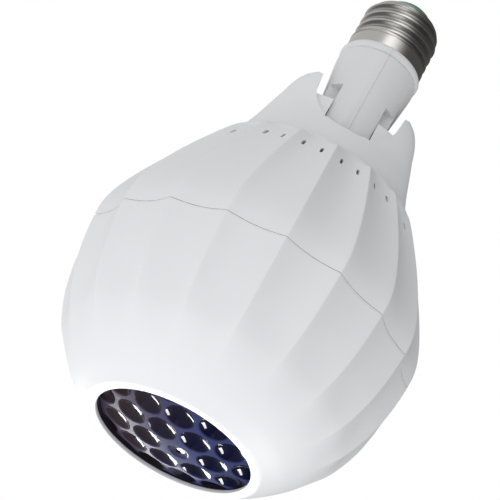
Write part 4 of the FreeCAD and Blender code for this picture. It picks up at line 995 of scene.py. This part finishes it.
class BULB_OT_stage(bpy.types.Operator):
    """Build the floor, lights and camera"""
    bl_idname = "bulb.stage"
    bl_label = "Stage"

    def execute(self, context):
        self.floor(context)
        self.world(context)
        self.lamps(context)
        self.camera(context)
        context.scene.view_settings.view_transform = "Standard"
        return {"FINISHED"}

    def floor(self, context):
        """Disc under the window that is seen from above only and lets light through. An emission brightens it evenly
        in the open and paints a contact shadow next to the object.
        """
        around = 96
        points = [(0, 0, FLOOR)]
        for radius in (300, 1500):
            points += [(*corner, FLOOR) for corner in circle((0, 0), radius, around)]
        faces = []
        for i in range(around):
            j = (i + 1) % around
            faces += [(0, 1 + i, 1 + j), (1 + i, 1 + around + i, 1 + around + j, 1 + j)]
        floor = mesh_object("floor", points, faces)
        material = bpy.data.materials.new("Pale Floor")
        finish = cleared(material)
        tint = context.scene.bulb.finish.floor
        back = finish.value("ShaderNodeNewGeometry", output="Backfacing")
        seen = finish.value("ShaderNodeLightPath", output="Is Camera Ray")
        hidden = finish.math("MAXIMUM", back, 1.0 - seen)
        grain = finish.value("ShaderNodeTexNoise", None, {"Scale": 60.0})
        paint = finish.add("ShaderNodeBsdfDiffuse", None, {"Color": finish.mix(grain, rgba(tint, 0.99), rgba(tint))})
        clear = finish.add("ShaderNodeBsdfTransparent")
        # Painted shadow: ambient occlusion drives an emission that is bright in the open and falls below zero next to
        # the object.
        open_sky = finish.value("ShaderNodeAmbientOcclusion", {"samples": 12}, {"Distance": 90 * MM}, "AO")
        glow_and_painted_shadow = finish.add("ShaderNodeEmission", None, {"Color": rgba(tint), "Strength": open_sky * 0.62 - 0.30})
        lit = finish.add("ShaderNodeAddShader", None, {0: paint.outputs[0], 1: glow_and_painted_shadow.outputs[0]})
        blend = finish.add("ShaderNodeMixShader", None, {0: hidden, 1: lit.outputs[0], 2: clear.outputs[0]})
        finish.add("ShaderNodeOutputMaterial", None, {"Surface": blend.outputs[0]})
        floor.data.materials.append(material)

    def world(self, context):
        """White to the camera, a soft room that is brightest below, and a darker one in reflections."""
        world = bpy.data.worlds.new("Soft Room")
        context.scene.world = world
        tree = cleared(world)
        x, y, z = tree.separate(tree.add("ShaderNodeTexCoord").outputs["Generated"])
        soft = 0.81 - 0.15 * x - 0.03 * y - 0.50 * z
        soft = soft - 0.65 * y * z - 0.30 * x * z - 0.07 * x * y + 0.22 * (3.0 * z * z - 1.0)
        soft = tree.math("MINIMUM", tree.math("MAXIMUM", soft, 0.05), 1.45)
        flat = tree.root(x * x + y * y + 1e-4)
        side, front = x / flat, tree.smooth(y / flat * -1.0, 0.0, 0.5)
        window = front * tree.smooth(side, -0.62, -0.30) * (1.0 - tree.smooth(side, -0.15, 0.72))
        wall = 0.58 * (1.0 - tree.smooth(side, -0.5, 0.45))
        dark = (0.09 + wall + 1.2 * window) * (0.2 + 0.8 * tree.smooth(z, -0.3, 0.1))
        path = tree.add("ShaderNodeLightPath").outputs
        level = soft + Value(tree, path["Is Glossy Ray"]) * (dark - soft)
        room = tree.add("ShaderNodeBackground", None, {"Color": (0.985, 0.99, 1.0, 1), "Strength": level})
        white = tree.add("ShaderNodeBackground", None, {"Color": (1, 1, 1, 1), "Strength": 1.0})
        blend = tree.add("ShaderNodeMixShader", None, {
            0: path["Is Camera Ray"], 1: room.outputs[0], 2: white.outputs[0]})
        tree.add("ShaderNodeOutputWorld", None, {"Surface": blend.outputs[0]})

    def lamps(self, context):
        for name, place, along, width, height, power, soft in (
            ("Key", (-300, -560, -520), (0, 0, 1), 500, 500, 0.8, True),
            ("Lower Strip", (520, 390, -620), (0.09, 0.82, 0.56), 110, 620, 4.0, False),
            ("Far Window", (-180, 855, -198), (0.58, 0.39, 0.72), 280, 500, 8.0, False),
        ):
            lamp = bpy.data.lights.new(name, "AREA")
            lamp.shape = "RECTANGLE"
            lamp.size, lamp.size_y = width * MM, height * MM
            lamp.energy = power
            obj = link(bpy.data.objects.new(name, lamp))
            obj.visible_diffuse = soft
            back = Vector(place).normalized()
            upright = Vector(along)
            upright = (upright - upright.dot(back) * back).normalized()
            turn = Matrix((upright.cross(back), upright, back)).transposed()
            obj.matrix_world = Matrix.Translation(Vector(place) * MM) @ turn.to_4x4()

    def camera(self, context):
        """The photograph's view: from below, with the cap leaning to the upper right."""
        focal, frame_width = 2318, 500
        pitch, roll, pan = math.radians(29.03), math.radians(29.1), math.atan(25.5 / focal)
        forward = Vector((0, math.cos(pitch), math.sin(pitch)))
        up = Vector((0, -math.sin(pitch), math.cos(pitch)))
        right = Vector((1, 0, 0))
        forward, right = (forward * math.cos(pan) - right * math.sin(pan),
                          right * math.cos(pan) + forward * math.sin(pan))
        image_right = up * math.sin(roll) + right * math.cos(roll)
        image_up = up * math.cos(roll) - right * math.sin(roll)
        data = bpy.data.cameras.new("Camera")
        data.sensor_width = 36
        data.lens = data.sensor_width * focal / frame_width
        data.clip_start, data.clip_end = 0.01, 20
        camera = link(bpy.data.objects.new("Camera", data))
        turn = Matrix((image_right, image_up, -forward)).transposed()
        camera.matrix_world = Matrix.Translation(Vector((0, -620.6, -275.8)) * MM) @ turn.to_4x4()
        context.scene.camera = camera


class BULB_PT_panel(bpy.types.Panel):
    """Sizes, colours and pieces of the bulb"""
    bl_idname = "BULB_PT_panel"
    bl_label = "Projector Bulb"
    bl_space_type = "VIEW_3D"
    bl_region_type = "UI"
    bl_category = "Bulb"

    def draw(self, context):
        settings = context.scene.bulb
        for group in (settings.housing, settings.lens, settings.cap, settings.finish):
            box = self.layout.box()
            for name in group.__annotations__:
                box.prop(group, name)
        for operator in PIECES:
            self.layout.operator(operator.bl_idname)


PIECES = (BULB_OT_stage, BULB_OT_front_shell, BULB_OT_rear_shell, BULB_OT_lens, BULB_OT_cap, BULB_OT_finishes)
CLASSES = (BulbHousing, BulbLens, BulbCap, BulbFinish, BulbSettings, *PIECES, BULB_PT_panel)
finishes = {}
shapes = {}


def register():
    for item in CLASSES:
        bpy.utils.register_class(item)
    bpy.types.Scene.bulb = bpy.props.PointerProperty(type=BulbSettings)


def unregister():
    del bpy.types.Scene.bulb
    for item in reversed(CLASSES):
        bpy.utils.unregister_class(item)


def make_finishes(colours):
    white = tuple(colours.white)
    finishes.update(
        white=white_plastic("White Plastic", white),
        # Painted shade: the neck's plastic is a darker copy of the white plastic, with a slightly yellower tone.
        neck=white_plastic("Neck Plastic", [0.915 * white[0], 0.912 * white[1], 0.90 * white[2]]),
        lens=lens_plastic("Dark Blue Lens", bpy.context.scene.bulb.lens),
        cap=rolled_metal("Rolled Nickel Sheet", tuple(colours.cap_metal)),
        insulator=moulded("Green Insulator", tuple(colours.insulator), 0.18, 900, 0.01),
        contact=plain_metal("Tinned Contact", (0.62, 0.60, 0.56), 0.32, 0.05),
        steel=plain_metal("Zinc-Plated Steel", (0.56, 0.57, 0.60), 0.28),
        motor=plain_metal("Motor Can", (0.50, 0.51, 0.53), 0.35),
        aluminium=plain_metal("Cast Aluminium", (0.74, 0.75, 0.77), 0.42, 0.02),
        seal=moulded("Dark Seal", (0.020, 0.014, 0.020), 0.3),
        black=moulded("Black Moulding", (0.012, 0.012, 0.014), 0.42),
        film=moulded("Black Slide", (0.008, 0.008, 0.01), 0.3),
        frame=moulded("Natural White Moulding", (0.62, 0.62, 0.60), 0.45),
        board=circuit_board("Green Board"),
        white_board=moulded("White Board", (0.74, 0.75, 0.76), 0.35, 700, 0.01),
        phosphor=phosphor("Yellow Phosphor"),
        clear=clear_plastic("Clear Lens"),
        sleeve=sleeve("Shrunk Sleeve"),
        red=moulded("Dipped Red", (0.38, 0.035, 0.018), 0.2, 300, 0.03),
        resistor=moulded("Grey Sleeve", (0.10, 0.12, 0.12), 0.4, 500, 0.03),
        ivory=moulded("Ivory Connector", (0.72, 0.69, 0.58), 0.4),
    )


def main():
    register()
    make_finishes(bpy.context.scene.bulb.finish)
    shapes.update(fluted=fluted_shape(), vented=vented_shape(), dimpled=dimpled_shape(), threaded=threaded_shape(),
                  soft=soft_shape())
    bpy.ops.bulb.stage()
    bpy.ops.bulb.front_shell()
    bpy.ops.bulb.rear_shell()
    bpy.ops.bulb.lens()
    bpy.ops.bulb.cap()
    bpy.ops.bulb.finishes()


if __name__ == "__main__":
    main()
